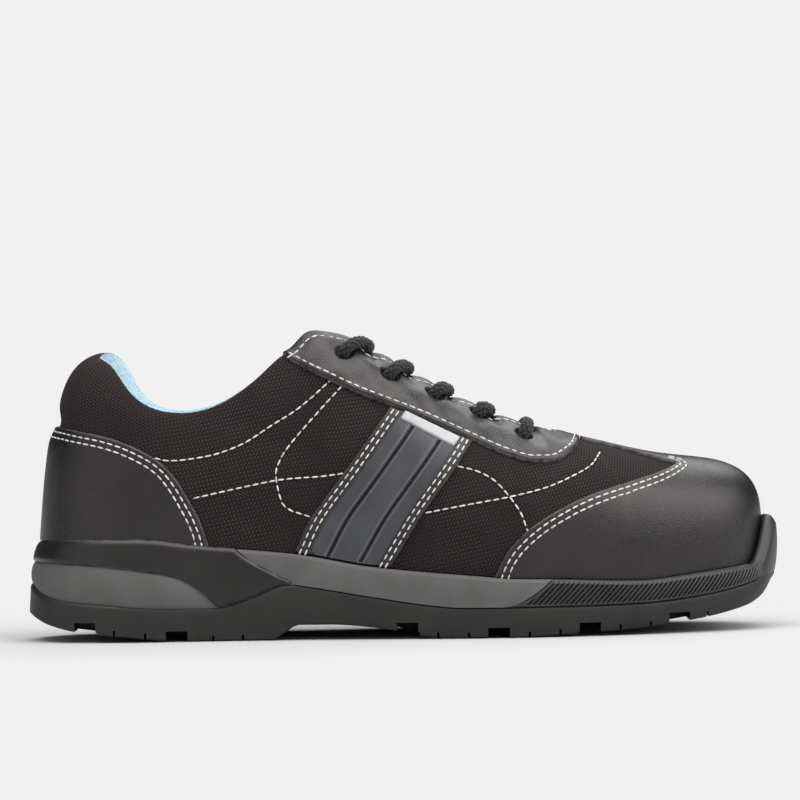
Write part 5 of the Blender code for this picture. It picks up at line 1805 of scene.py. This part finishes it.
def make_light():
    """A pale backdrop for the camera, and soft boxes at a great distance for everything else."""
    world = bpy.data.worlds.new("studio")
    world.use_nodes = True
    bpy.context.scene.world = world
    kit = Kit(world.node_tree)
    world.node_tree.nodes.clear()
    direction = kit.node("TexCoord", output="Generated")
    light = SKY_STRENGTH
    for box in SOFT_BOXES:
        sockets = {0: direction, 1: tuple(unit(np.array(box.toward)))}
        facing = kit.node("VectorMath", {"operation": "DOT_PRODUCT"}, sockets, output="Value")
        light = light + facing.step(box.start, box.full) * box.strength
    white = (1.0, 1.0, 1.0)
    lit, plain = (kit.node("Background", sockets={"Color": white, "Strength": s}) for s in (light, BACKDROP))
    camera_ray = kit.node("LightPath", output="Is Camera Ray")
    shown = kit.node("MixShader", sockets={0: camera_ray, 1: lit, 2: plain})
    kit.node("OutputWorld", sockets={"Surface": shown})


def make_camera():
    """Level view of the outer side, turned a degree about its axis."""
    data = bpy.data.cameras.new("camera")
    data.lens = LENS
    data.sensor_width = SENSOR
    data.clip_end = 200.0
    camera = bpy.data.objects.new("camera", data)
    bpy.context.scene.collection.objects.link(camera)
    sine, cosine = math.sin(CAMERA_TURN), math.cos(CAMERA_TURN)
    x, y, z = CAMERA_PLACE
    camera.matrix_world = Matrix((
        (cosine, sine, 0.0, x),
        (0.0, 0.0, -1.0, y),
        (-sine, cosine, 0.0, z),
        (0.0, 0.0, 0.0, 1.0),
    ))
    bpy.context.scene.camera = camera


def make_shoe():
    """Every piece, from the upper down to the tread, and then the thread that sews them."""
    textile = textile_finish()
    thread = thread_finish()
    black = leather_finish("leather", (0.0058, 0.0051, 0.0050), (0.0105, 0.0093, 0.0090), 0.29)
    strip = leather_finish("band_strip", (0.010, 0.0085, 0.0085), (0.017, 0.0145, 0.0145), 0.46)
    band = band_finish()
    blues = [(0.40, 0.58, 0.68), (0.45, 0.65, 0.75), (0.62, 0.80, 0.88)]
    lining = mesh_finish("lining", 0.85, 1.1, (0.12, 0.36), 3.0, blues, 0.22)
    blues = [(0.11, 0.22, 0.31), (0.16, 0.33, 0.47), (0.26, 0.46, 0.60)]
    footbed = mesh_finish("insole", 0.9, 1.3, (0.2, 0.45), 5.0, blues, 0.3)
    foam = rubber_finish("midsole", (0.076, 0.0755, 0.074), (0.095, 0.0935, 0.092), 0.50, 0.05)
    # the stabiliser's last number is the strength of its painted edge highlight
    cradle = rubber_finish("stabiliser", (0.0055, 0.0049, 0.0047), (0.0095, 0.0086, 0.0082), 0.22, 0.03, 0.4)
    ribs = rubber_finish("rib_wall", (0.015, 0.015, 0.0145), (0.022, 0.022, 0.021), 0.30, 0.04)
    outsole = rubber_finish("outsole", (0.0078, 0.0077, 0.0073), (0.0135, 0.0133, 0.0125), 0.38, 0.04)
    lace = lace_finish()
    holes = lace_places()
    rows = textile_rows()
    make_upper(textile, lining, rows)
    sewn = {"quarter_stitches": rows}
    sewn["counter_stitches"] = make_counter(black)
    sewn["toe_cap_stitches"] = make_toe_cap(black)
    sewn["eyestay_stitches"] = make_eyestay(black, holes)
    sewn["outer_band_stitches"] = make_band("side_band_outer", False, band, strip)
    sewn["inner_band_stitches"] = make_band("side_band_inner", True, band, strip)
    make_tag(tag_finish())
    make_tongue(textile)
    for number in range(len(LACE_HOLES)):
        make_lace(number, holes[number::len(LACE_HOLES)], lace)
    make_insole(footbed)
    make_midsole(foam)
    make_stabiliser(cradle)
    make_rib_wall(ribs)
    make_tread(outsole)
    tree = stitch_tree()
    for name, owned in sewn.items():
        make_stitches(name, owned, tree, thread)


make_shoe()
make_floor()
make_light()
make_camera()
bpy.context.scene.view_settings.view_transform = "Standard"
